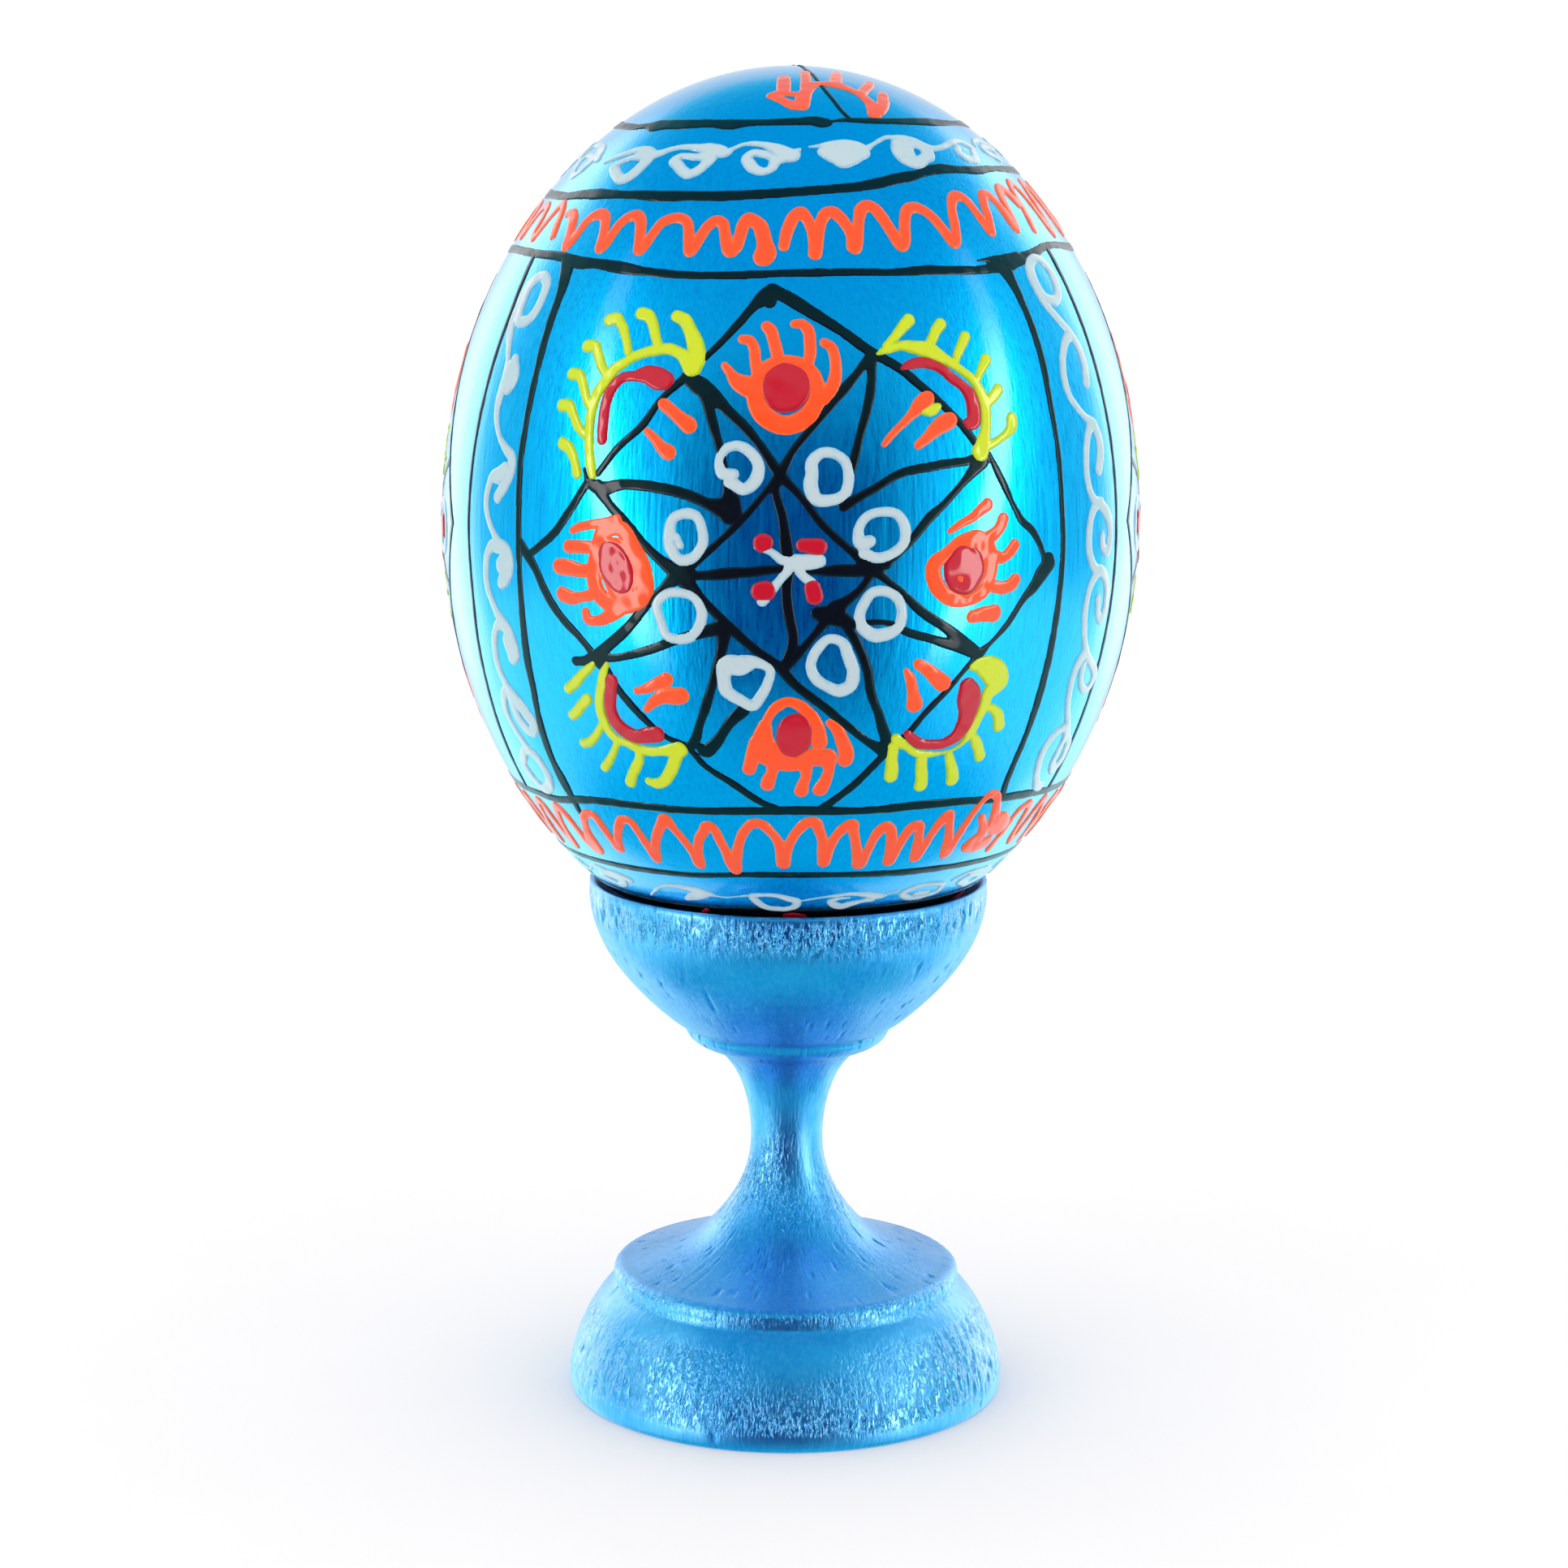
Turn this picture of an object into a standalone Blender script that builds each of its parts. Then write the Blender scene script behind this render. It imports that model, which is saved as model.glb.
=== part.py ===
"""A painted wooden Easter egg (pysanka) resting loose in its one-piece turned stand.

Both pieces are turned on a lathe about the same vertical axis, +Z. The origin is the centre
of the stand's flat underside, and the painted front of the egg looks along -Y. The egg sits
on a narrow ring just inside the rim of the cup and lifts straight out along +Z.
"""

import math

import bpy

MM = 0.001

# Driving dimensions of the egg.
EGG_RADIUS = 22.25 * MM
EGG_CENTRE_HEIGHT = 57.7 * MM
EGG_UPPER_LENGTH = 28.6 * MM
EGG_LOWER_LENGTH = 27.9 * MM

# Driving dimensions of the stand's outside, from the rim down.
RIM_RADIUS = 12.95 * MM
RIM_HEIGHT = 34.3 * MM
CUP_FOOT_RADIUS = 8.4 * MM
CUP_FOOT_HEIGHT = 25.7 * MM
CREASE_RADIUS = 6.7 * MM
CREASE_HEIGHT = 24.45 * MM
BEAD_END_RADIUS = 4.9 * MM
BEAD_END_HEIGHT = 23.0 * MM
WAIST_RADIUS = 2.36 * MM
WAIST_HEIGHT = 16.9 * MM
FLARE_END_RADIUS = 5.1 * MM
FLARE_END_HEIGHT = 10.9 * MM
DISC_RADIUS = 11.2 * MM
DISC_HEIGHT = 8.2 * MM
STEP_RADIUS = 11.35 * MM
STEP_HEIGHT = 7.15 * MM
FOOT_RADIUS = 14.33 * MM
FOOT_WIDEST_HEIGHT = 1.3 * MM
BASE_EDGE_RADIUS = 14.22 * MM
BASE_EDGE_HEIGHT = 0.1 * MM
BASE_RADIUS = 14.1 * MM

# Driving dimensions of the cup's hollow.
SEAT_CLEARANCE = 0.3 * MM
SEAT_DEPTH = 0.55 * MM
HOLLOW_FLOOR_HEIGHT = 27.2 * MM

# Points on each stretch of a profile, and facets round the axis.
EGG_STEPS_PER_HALF = 16
LONG_STRETCH = 8
SHORT_STRETCH = 4
HOLLOW_STEPS = 8
FACETS_ROUND = 48
MERGE_DISTANCE = 0.01 * MM


def clear_scene():
    for leftover in list(bpy.data.objects):
        bpy.data.objects.remove(leftover, do_unlink=True)


def new_collection(name):
    collection = bpy.data.collections.new(name)
    bpy.context.scene.collection.children.link(collection)
    return collection


def painted_wood(name, colour, roughness, metallic):
    material = bpy.data.materials.new(name)
    material.use_nodes = True
    shader = material.node_tree.nodes["Principled BSDF"]
    shader.inputs["Base Color"].default_value = (*colour, 1.0)
    shader.inputs["Roughness"].default_value = roughness
    shader.inputs["Metallic"].default_value = metallic
    return material


def stretch(start, leave, arrive, end, steps):
    """Points of one smooth stretch after its start: a cubic curve.

    leave is the handle at the start and arrive the handle at the end, both given as
    (outwards, upwards) from the point they belong to.
    """
    points = []
    for step in range(1, steps + 1):
        along = step / steps
        back = 1.0 - along
        point = []
        for axis in (0, 1):
            first = start[axis]
            second = start[axis] + leave[axis]
            third = end[axis] + arrive[axis]
            fourth = end[axis]
            point.append(
                back ** 3 * first
                + 3.0 * back ** 2 * along * second
                + 3.0 * back * along ** 2 * third
                + along ** 3 * fourth
            )
        points.append(tuple(point))
    return points


def egg_radius_at(height):
    """Radius of the egg at a height above the floor: an upper and a lower half ellipsoid."""
    above_centre = height - EGG_CENTRE_HEIGHT
    half_length = EGG_UPPER_LENGTH if above_centre > 0.0 else EGG_LOWER_LENGTH
    return EGG_RADIUS * math.sqrt(1.0 - (above_centre / half_length) ** 2)


def egg_profile():
    """From the top pole down to the bottom pole, about the egg's own centre."""
    points = []
    for step in range(2 * EGG_STEPS_PER_HALF + 1):
        angle = math.pi / 2.0 * (1.0 - step / EGG_STEPS_PER_HALF)
        half_length = EGG_UPPER_LENGTH if angle > 0.0 else EGG_LOWER_LENGTH
        points.append((EGG_RADIUS * math.cos(angle), half_length * math.sin(angle)))
    points[0] = (0.0, EGG_UPPER_LENGTH)
    points[-1] = (0.0, -EGG_LOWER_LENGTH)
    return points


def seat_point(height):
    """A point of the egg's surface, moved out along its normal by the seat's clearance."""
    radius = egg_radius_at(height)
    below_centre = EGG_CENTRE_HEIGHT - height
    outwards = radius / EGG_RADIUS ** 2
    downwards = below_centre / EGG_LOWER_LENGTH ** 2
    shift = SEAT_CLEARANCE / math.hypot(outwards, downwards)
    return (radius + shift * outwards, height - shift * downwards)


def hollow_profile():
    """From the bottom of the hollow up a round bowl, then up the seat ring to the rim."""
    seat_bottom = seat_point(RIM_HEIGHT - SEAT_DEPTH)
    rise = seat_bottom[1] - HOLLOW_FLOOR_HEIGHT
    bowl_radius = (seat_bottom[0] ** 2 + rise ** 2) / (2.0 * rise)
    opening_angle = math.asin(seat_bottom[0] / bowl_radius)
    points = []
    for step in range(HOLLOW_STEPS + 1):
        angle = opening_angle * step / HOLLOW_STEPS
        height = HOLLOW_FLOOR_HEIGHT + bowl_radius * (1.0 - math.cos(angle))
        points.append((bowl_radius * math.sin(angle), height))

    # The seat runs on along the egg's slope until it reaches the height of the rim.
    seat_top = seat_point(RIM_HEIGHT)
    slope = (seat_top[0] - seat_bottom[0]) / (seat_top[1] - seat_bottom[1])
    points.append((seat_top[0] + slope * (RIM_HEIGHT - seat_top[1]), RIM_HEIGHT))
    return points


def outer_profile():
    """From the rim down the outside of cup, bead, stem, disc and foot to the underside."""
    rim = (RIM_RADIUS, RIM_HEIGHT)
    cup_foot = (CUP_FOOT_RADIUS, CUP_FOOT_HEIGHT)
    crease = (CREASE_RADIUS, CREASE_HEIGHT)
    bead_end = (BEAD_END_RADIUS, BEAD_END_HEIGHT)
    waist = (WAIST_RADIUS, WAIST_HEIGHT)
    flare_end = (FLARE_END_RADIUS, FLARE_END_HEIGHT)
    disc = (DISC_RADIUS, DISC_HEIGHT)
    step = (STEP_RADIUS, STEP_HEIGHT)
    foot = (FOOT_RADIUS, FOOT_WIDEST_HEIGHT)
    base_edge = (BASE_EDGE_RADIUS, BASE_EDGE_HEIGHT)

    points = [rim]
    # Cup wall, fullest just below the rim.
    points += stretch(rim, (0.3 * MM, -2.9 * MM), (3.3 * MM, 2.9 * MM), cup_foot, LONG_STRETCH)
    points += stretch(cup_foot, (-0.5 * MM, -0.45 * MM), (0.6 * MM, 0.35 * MM), crease, SHORT_STRETCH)
    # Small round bead under the cup.
    points += stretch(crease, (0.0, -0.75 * MM), (1.0 * MM, 0.3 * MM), bead_end, LONG_STRETCH)
    # Stem, narrowest at the waist.
    points += stretch(bead_end, (-1.4 * MM, -0.7 * MM), (0.0, 3.0 * MM), waist, LONG_STRETCH)
    points += stretch(waist, (0.0, -2.5 * MM), (-1.5 * MM, 1.5 * MM), flare_end, LONG_STRETCH)
    # Upper disc of the foot and its rounded edge.
    points += stretch(flare_end, (1.1 * MM, -1.1 * MM), (-2.4 * MM, 0.7 * MM), disc, LONG_STRETCH)
    points += stretch(disc, (0.25 * MM, -0.1 * MM), (0.1 * MM, 0.45 * MM), step, SHORT_STRETCH)
    # Drum of the foot, widest just above the floor.
    points += stretch(step, (1.45 * MM, -1.25 * MM), (-0.3 * MM, 2.3 * MM), foot, LONG_STRETCH)
    points += stretch(foot, (0.03 * MM, -0.5 * MM), (0.1 * MM, 0.3 * MM), base_edge, SHORT_STRETCH)
    points.append((BASE_RADIUS, 0.0))
    points.append((0.0, 0.0))
    return points


def turned(name, profile, material, collection):
    """A solid turned about +Z from a profile that starts and ends on the axis."""
    mesh = bpy.data.meshes.new(name)
    vertices = [(radius, 0.0, height) for radius, height in profile]
    edges = [(index, index + 1) for index in range(len(profile) - 1)]
    mesh.from_pydata(vertices, edges, [])
    piece = bpy.data.objects.new(name, mesh)
    mesh.materials.append(material)
    collection.objects.link(piece)
    screw = piece.modifiers.new("turning", "SCREW")
    screw.axis = "Z"
    screw.angle = 2.0 * math.pi
    screw.screw_offset = 0.0
    screw.steps = FACETS_ROUND
    screw.render_steps = FACETS_ROUND
    screw.use_merge_vertices = True
    screw.merge_threshold = MERGE_DISTANCE
    screw.use_smooth_shade = True
    return piece


def make_stand(collection):
    """Goblet stand: foot, stem and cup, turned from one length of wood."""
    finish = painted_wood("stand_blue", (0.06, 0.33, 0.72), 0.42, 0.55)
    return turned("stand", hollow_profile() + outer_profile(), finish, collection)


def make_egg(collection):
    """Solid turned egg. Its parent empty stands on the axis along which it lifts out."""
    finish = painted_wood("egg_blue", (0.0, 0.3, 0.68), 0.12, 0.6)
    lift_axis = bpy.data.objects.new("egg_lift_axis", None)
    lift_axis.location = (0.0, 0.0, RIM_HEIGHT)
    collection.objects.link(lift_axis)
    egg = turned("egg", egg_profile(), finish, collection)
    egg.parent = lift_axis
    egg.location = (0.0, 0.0, EGG_CENTRE_HEIGHT - RIM_HEIGHT)
    return egg


def main():
    clear_scene()
    collection = new_collection("pysanka_egg_on_stand")
    make_stand(collection)
    make_egg(collection)


main()
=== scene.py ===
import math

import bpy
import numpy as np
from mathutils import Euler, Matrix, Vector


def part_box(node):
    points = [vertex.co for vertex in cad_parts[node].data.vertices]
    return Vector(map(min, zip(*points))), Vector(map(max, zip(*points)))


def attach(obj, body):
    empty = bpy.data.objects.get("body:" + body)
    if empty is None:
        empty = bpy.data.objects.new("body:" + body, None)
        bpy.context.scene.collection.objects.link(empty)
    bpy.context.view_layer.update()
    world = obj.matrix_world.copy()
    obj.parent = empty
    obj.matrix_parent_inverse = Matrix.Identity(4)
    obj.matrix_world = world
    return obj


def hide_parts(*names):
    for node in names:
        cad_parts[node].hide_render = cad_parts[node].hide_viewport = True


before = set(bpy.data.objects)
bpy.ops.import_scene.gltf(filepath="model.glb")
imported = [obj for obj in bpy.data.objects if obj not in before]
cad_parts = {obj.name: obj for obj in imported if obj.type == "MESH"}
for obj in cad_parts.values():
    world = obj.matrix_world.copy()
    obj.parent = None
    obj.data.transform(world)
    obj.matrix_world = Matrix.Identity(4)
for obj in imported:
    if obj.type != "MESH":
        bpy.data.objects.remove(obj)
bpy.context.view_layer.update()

# Looks of a painted wooden egg (pysanka) resting in its turned stand.
#
# The egg and the stand are drawn finely over their CAD nodes. The decoration is raised paint:
# each colour of each part of the pattern is a piece of its own that rides on the egg. A brush
# stroke is a list of (turn, height, width): degrees round the egg from its front, positive
# to the viewer's right, millimetres above the floor, and millimetres across.

MM = 0.001

# ---------------------------------------------------------------------------------------
# The egg's surface: an upper and a lower half ellipsoid, measured on its CAD node, in mm.

EGG_VERTICES = np.array([v.co[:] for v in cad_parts["egg"].data.vertices]) / MM
EGG_REACH = np.hypot(EGG_VERTICES[:, 0], EGG_VERTICES[:, 1])
EGG_RADIUS = EGG_REACH.max()
EGG_CENTRE = EGG_VERTICES[EGG_REACH > EGG_RADIUS - 0.001, 2].mean()
EGG_UPPER = EGG_VERTICES[:, 2].max() - EGG_CENTRE
EGG_LOWER = EGG_CENTRE - EGG_VERTICES[:, 2].min()


def soft_step(low, high, value):
    share = np.clip((value - low) / (high - low), 0.0, 1.0)
    return share * share * (3.0 - 2.0 * share)


def half_length(rise):
    return np.where(rise > 0.0, EGG_UPPER, EGG_LOWER)


def rise_at(height):
    """The ellipse's own angle above the egg's widest line, in radians, at a height in mm."""
    above = np.asarray(height, float) - EGG_CENTRE
    return np.arcsin(np.clip(above / half_length(above), -1.0, 1.0))


def egg_point(turn, rise):
    radius = EGG_RADIUS * np.cos(rise)
    height = EGG_CENTRE + half_length(rise) * np.sin(rise)
    return np.stack([radius * np.sin(turn), -radius * np.cos(turn), height + 0.0 * turn], -1)


def egg_normal(turn, rise):
    out = np.cos(rise) / EGG_RADIUS
    up = np.sin(rise) / half_length(rise)
    size = np.hypot(out, up)
    return np.stack([out * np.sin(turn), -out * np.cos(turn), up + 0.0 * turn], -1) / size[..., None]


def mm_per_degree(height):
    """Millimetres round the egg for each degree of turn."""
    return math.radians(1.0) * EGG_RADIUS * math.cos(float(rise_at(height)))


def slope_stretch(height):
    """Millimetres along the surface for each millimetre of height."""
    rise = rise_at(height)
    return np.hypot(EGG_RADIUS * np.sin(rise), half_length(rise) * np.cos(rise)) / (
        half_length(rise) * np.cos(rise))


# ---------------------------------------------------------------------------------------
# Paint: strokes become a field of distances on a grid, and the field becomes a raised mesh.

# All in mm: the field's value away from paint, the spacing of points along a stroke, how far
# beyond a stroke's edge its distances are kept, the cap grid's cell and the finest row of cells.
FAR = 9.0
STROKE_STEP = 0.05
EDGE_REACH = 0.3
CELL = 0.1
FINEST_ROW = 0.08
BATCH_CELLS = 400000


class Patch:
    """A grid of points on the egg. Its columns join up at the back when it wraps round."""

    def __init__(self, turn, rise, wraps, locate, column_width):
        self.points = egg_point(turn, rise).astype(np.float32)
        self.normals = egg_normal(turn, rise)
        self.wraps = wraps
        self.locate = locate
        self.column_width = column_width
        self.rows, self.columns = turn.shape


def band_patch():
    """The whole egg but for its two poles, in rows of equal height angle."""
    columns = 1440
    rows = 800
    lowest, highest = math.radians(-76.0), math.radians(84.0)
    turn_step = 2.0 * math.pi / columns
    rise_step = (highest - lowest) / (rows - 1)
    turn = np.arange(columns) * turn_step - math.pi
    rise = lowest + np.arange(rows) * rise_step

    def locate(at_turn, at_rise):
        return (at_rise - lowest) / rise_step, (at_turn + math.pi) / turn_step

    def column_width(at_rise):
        return EGG_RADIUS * np.cos(at_rise) * turn_step

    turns, rises = np.meshgrid(turn, rise)
    return Patch(turns, rises, True, locate, column_width)


def cap_patch():
    """The egg's top, seen from above as a square grid."""
    half = 10.9
    count = int(2.0 * half / CELL) + 1
    line = np.linspace(-half, half, count)
    step = line[1] - line[0]
    across, along = np.meshgrid(line, line)
    reach = np.clip(np.hypot(across, along), 1e-6, EGG_RADIUS)

    def locate(at_turn, at_rise):
        radius = EGG_RADIUS * np.cos(at_rise)
        x = radius * np.sin(at_turn)
        y = -radius * np.cos(at_turn)
        return (y + half) / step, (x + half) / step

    def column_width(at_rise):
        return step + 0.0 * at_rise

    return Patch(np.arctan2(across, -along), np.arccos(reach / EGG_RADIUS), False, locate, column_width)


BAND = band_patch()
CAP = cap_patch()


def smooth_line(points, step):
    """Points along a smooth curve through the given points, about step apart."""
    points = np.asarray(points, float)
    if len(points) == 1:
        return points
    turn_mm = math.radians(1.0) * EGG_RADIUS * np.cos(rise_at(points[:, 1]))
    moves = np.diff(points, axis=0)
    chord = np.hypot(moves[:, 0] * (turn_mm[1:] + turn_mm[:-1]) / 2.0, moves[:, 1])
    chord = np.maximum(chord, 1e-6)
    speed = moves / chord[:, None]
    slope = np.empty_like(points)
    slope[0], slope[-1] = speed[0], speed[-1]
    before, after = chord[:-1, None], chord[1:, None]
    slope[1:-1] = (speed[:-1] * after + speed[1:] * before) / (before + after)
    closed = np.allclose(points[0], points[-1])
    if closed:
        first, last = chord[0], chord[-1]
        slope[0] = slope[-1] = (speed[-1] * first + speed[0] * last) / (first + last)
    parts = []
    for index, length in enumerate(chord):
        t = np.linspace(0.0, 1.0, int(length / step) + 2)[:-1, None]
        parts.append((2 * t**3 - 3 * t**2 + 1) * points[index]
                     + (t**3 - 2 * t**2 + t) * length * slope[index]
                     + (3 * t**2 - 2 * t**3) * points[index + 1]
                     + (t**3 - t**2) * length * slope[index + 1])
    parts.append(points[-1:])
    return np.concatenate(parts)


def distance_field(patch, strokes):
    """For each grid point, millimetres to the nearest stroke's edge, negative inside it."""
    field = np.full(patch.rows * patch.columns, FAR, np.float32)
    cells = patch.points.reshape(-1, 3)
    for stroke in strokes:
        line = smooth_line(stroke, STROKE_STEP)
        turn, rise = np.radians(line[:, 0]), rise_at(line[:, 1])
        half = line[:, 2] / 2.0
        row, column = patch.locate(turn, rise)
        reach = half.max() + EDGE_REACH
        rows_out = int(reach / FINEST_ROW) + 1
        wide = int(reach / patch.column_width(rise).min()) + 1
        wide = min(wide, patch.columns // 2)
        row_offset = np.arange(-rows_out, rows_out + 1)[None, :, None]
        column_offset = np.arange(-wide, wide + 1)[None, None, :]
        where = egg_point(turn, rise).astype(np.float32)
        batch = max(1, BATCH_CELLS // (row_offset.size * column_offset.size))
        for start in range(0, len(line), batch):
            part = slice(start, start + batch)
            rows = np.rint(row[part]).astype(int)[:, None, None] + row_offset
            columns = np.rint(column[part]).astype(int)[:, None, None] + column_offset
            inside = (rows >= 0) & (rows < patch.rows)
            if patch.wraps:
                columns = columns % patch.columns
            else:
                inside = inside & (columns >= 0) & (columns < patch.columns)
            index = rows * patch.columns + columns
            inside = inside & np.ones_like(index, bool)
            sample = np.broadcast_to(np.arange(len(rows))[:, None, None], index.shape)[inside]
            index = index[inside]
            gap = np.linalg.norm(cells[index] - where[part][sample], axis=1) - half[part][sample]
            np.minimum.at(field, index, gap.astype(np.float32))
    return field.reshape(patch.rows, patch.columns)


def ripple(points, seed, shortest, longest, waves=14):
    """A smooth random value about -1 to 1 at each point: a sum of waves of mixed direction."""
    random = np.random.default_rng(seed)
    total = np.zeros(points.shape[:-1])
    for _ in range(waves):
        direction = random.normal(size=3)
        direction /= np.linalg.norm(direction)
        length = random.uniform(shortest, longest)
        phase = random.uniform(0.0, 2.0 * math.pi)
        total += np.sin(points @ (direction * 2.0 * math.pi / length) + phase)
    return total / math.sqrt(waves)


# Corners of a grid cell that are painted, as bits 1, 2, 4 and 8 for corners a, b, c and d, and
# the outline of what is painted then. ab, bc, cd and da are points on the cell's edges.
CELL_OUTLINES = {
    1: "a ab da", 2: "b bc ab", 3: "a b bc da", 4: "c cd bc", 5: "a ab bc c cd da",
    6: "b c cd ab", 7: "a b c cd da", 8: "d da cd", 9: "a ab cd d", 10: "b bc cd d da ab",
    11: "a b bc cd d", 12: "c d da bc", 13: "a ab bc c d", 14: "b c d da ab", 15: "a b c d",
}


# The unevenness of brushed paint: an amount, then its shortest and longest wave in mm. The first
# two are mm of a stroke's edge and the last is a share of its thickness.
EDGE_WAVER = (0.014, 0.9, 3.5)
EDGE_ROUGHNESS = (0.006, 0.35, 0.8)
THICK_AND_THIN = (0.16, 0.8, 2.6)
# An edge stays this far in mm from the grid's own points, so that no face is thinner, and
# paint_depth reaches 1 this far inside the edge.
LEAST_GAP = 0.004
FULL_DEPTH = 0.3


def raised_mesh(name, patch, field, thickness, rounding, sink, seed):
    """The painted part of a patch as a mesh whose edges dip into the egg."""
    near = np.abs(field) < 1.0

    def uneven(kind, offset):
        amount, shortest, longest = kind
        return amount * ripple(patch.points[near], seed + offset, shortest, longest)

    field = field.astype(float).copy()
    field[near] += uneven(EDGE_WAVER, 0)
    field[near] += uneven(EDGE_ROUGHNESS, 1)
    nudged = np.where(field < 0.0, -LEAST_GAP, LEAST_GAP)
    field = np.where(np.abs(field) < LEAST_GAP, nudged, field)
    if not patch.wraps:
        field[[0, -1], :] = FAR
        field[:, [0, -1]] = FAR
    painted = field < 0.0
    rows, columns = field.shape
    grid = np.arange(rows * columns).reshape(rows, columns)

    def right(array):
        return np.roll(array, -1, axis=1)

    def crossing(first, second, other_field, other_points):
        share = np.where(first != second, field[:other_field.shape[0]] / (
            field[:other_field.shape[0]] - other_field + 1e-12), 0.0)
        own = patch.points[:other_field.shape[0]].astype(float)
        return own + share[..., None] * (other_points - own)

    across = crossing(painted, right(painted), right(field), right(patch.points).astype(float))
    upward = crossing(painted[:-1], painted[1:], field[1:], patch.points[1:].astype(float))
    across_id = rows * columns + grid
    upward_id = 2 * rows * columns + grid

    corner = {"a": grid[:-1], "b": right(grid)[:-1], "c": right(grid)[1:], "d": grid[1:],
              "ab": across_id[:-1], "cd": across_id[1:],
              "da": upward_id[:-1], "bc": right(upward_id)[:-1]}
    case = painted[:-1] * 1 + right(painted)[:-1] * 2 + right(painted)[1:] * 4 + painted[1:] * 8
    if not patch.wraps:
        case = case[:, :-1]
        corner = {key: value[:, :-1] for key, value in corner.items()}
    faces = []
    for bits, outline in CELL_OUTLINES.items():
        here = case == bits
        if here.any():
            faces.append(np.stack([corner[key][here] for key in outline.split()], axis=1))
    used, renumbered = np.unique(np.concatenate([f.ravel() for f in faces]), return_inverse=True)

    depth = np.maximum(-field, 0.0)
    full = np.ones_like(field)
    full[near] += uneven(THICK_AND_THIN, 2)
    share = np.clip(depth / rounding, 0.0, 1.0)
    height = -sink + (thickness * full + sink) * np.sqrt(1.0 - (1.0 - share) ** 2)
    own = patch.points.astype(float) + patch.normals * height[..., None]
    sunk = -sink * patch.normals
    places = np.concatenate([own.reshape(-1, 3), (across + sunk).reshape(-1, 3),
                             np.concatenate([upward + sunk[:-1], own[-1:]]).reshape(-1, 3)])
    depths = np.concatenate([depth.ravel(), np.zeros(2 * rows * columns)])[used]
    mesh = built_mesh(name, places[used] * MM, faces, renumbered)
    shade = mesh.attributes.new("paint_depth", "FLOAT", "POINT")
    shade.data.foreach_set("value", np.clip(depths / FULL_DEPTH, 0.0, 1.0).astype(np.float32))
    return mesh


def built_mesh(name, places, face_groups, corners):
    """A smooth-shaded mesh from vertex places and groups of faces with equal corner counts."""
    mesh = bpy.data.meshes.new(name)
    mesh.vertices.add(len(places))
    mesh.vertices.foreach_set("co", places.astype(np.float32).ravel())
    totals = np.concatenate([np.full(len(group), group.shape[1]) for group in face_groups])
    starts = np.concatenate([[0], np.cumsum(totals)[:-1]])
    mesh.loops.add(len(corners))
    mesh.loops.foreach_set("vertex_index", corners.astype(np.int32).ravel())
    mesh.polygons.add(len(totals))
    mesh.polygons.foreach_set("loop_start", starts.astype(np.int32))
    mesh.polygons.foreach_set("loop_total", totals.astype(np.int32))
    mesh.update(calc_edges=True)
    mesh.validate()
    mesh.shade_smooth()
    return mesh


def add_piece(name, mesh, material, body):
    piece = bpy.data.objects.new(name, mesh)
    mesh.materials.append(material)
    bpy.context.scene.collection.objects.link(piece)
    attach(piece, body)
    return piece


# ---------------------------------------------------------------------------------------
# Ways to place strokes.

def turned(strokes, degrees):
    return [[(turn + degrees, height, width) for turn, height, width in stroke] for stroke in strokes]


def wider(strokes, share):
    return [[(turn, height, width * share) for turn, height, width in stroke] for stroke in strokes]


def free_hand(strokes, seed, reach=0.28):
    """The same strokes drawn again by hand: moved a little, and a little wider or narrower."""
    moved = []
    for stroke in strokes:
        points = np.array(stroke, float)
        place = egg_point(np.radians(points[:, 0]), rise_at(points[:, 1]))
        points[:, 0] += reach * 2.6 * ripple(place, seed, 9.0, 26.0)
        points[:, 1] += reach * ripple(place, seed + 1, 9.0, 26.0)
        points[:, 2] *= 1.0 + 0.1 * ripple(place, seed + 2, 3.0, 9.0)
        moved.append([tuple(point) for point in points])
    return moved


def sloped(strokes):
    """Widths given as seen from the side, made the true widths on the egg's sloping shoulder."""
    return [[(t, h, w * float(slope_stretch(h))) for t, h, w in stroke] for stroke in strokes]


def from_above(strokes):
    """Strokes given as (x, y, width) in mm seen from the top, as (turn, height, width)."""
    made = []
    for stroke in strokes:
        line = []
        for x, y, width in stroke:
            reach = math.hypot(x, y)
            height = EGG_CENTRE + EGG_UPPER * math.sqrt(1.0 - (reach / EGG_RADIUS) ** 2)
            turn = math.degrees(math.atan2(x, -y))
            if line:
                turn += 360.0 * round((line[-1][0] - turn) / 360.0)
            line.append((turn, height, width))
        made.append(line)
    return made


def tapered(points, widths):
    return [(turn, height, width) for (turn, height), width in zip(points, widths)]


def filled(turn, height, half_turn, half_height, lean=0.0):
    """An oval spot of paint, as strokes round it and across it. Sizes are in mm."""
    degree = mm_per_degree(height)
    small = min(half_turn, half_height)
    steps = 16
    rim = []
    for step in range(steps + 1):
        angle = 2.0 * math.pi * step / steps
        x = (half_turn - .35 * small) * math.cos(angle)
        y = (half_height - .35 * small) * math.sin(angle)
        rim.append((turn + (x + lean * y) / degree, height + y, .7 * small))
    core = half_height - .7 * small
    return [rim, [(turn - lean * core / degree, height - core, 1.3 * small),
                  (turn + lean * core / degree, height + core, 1.3 * small)]]


# ---------------------------------------------------------------------------------------
# Black lines.

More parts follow.
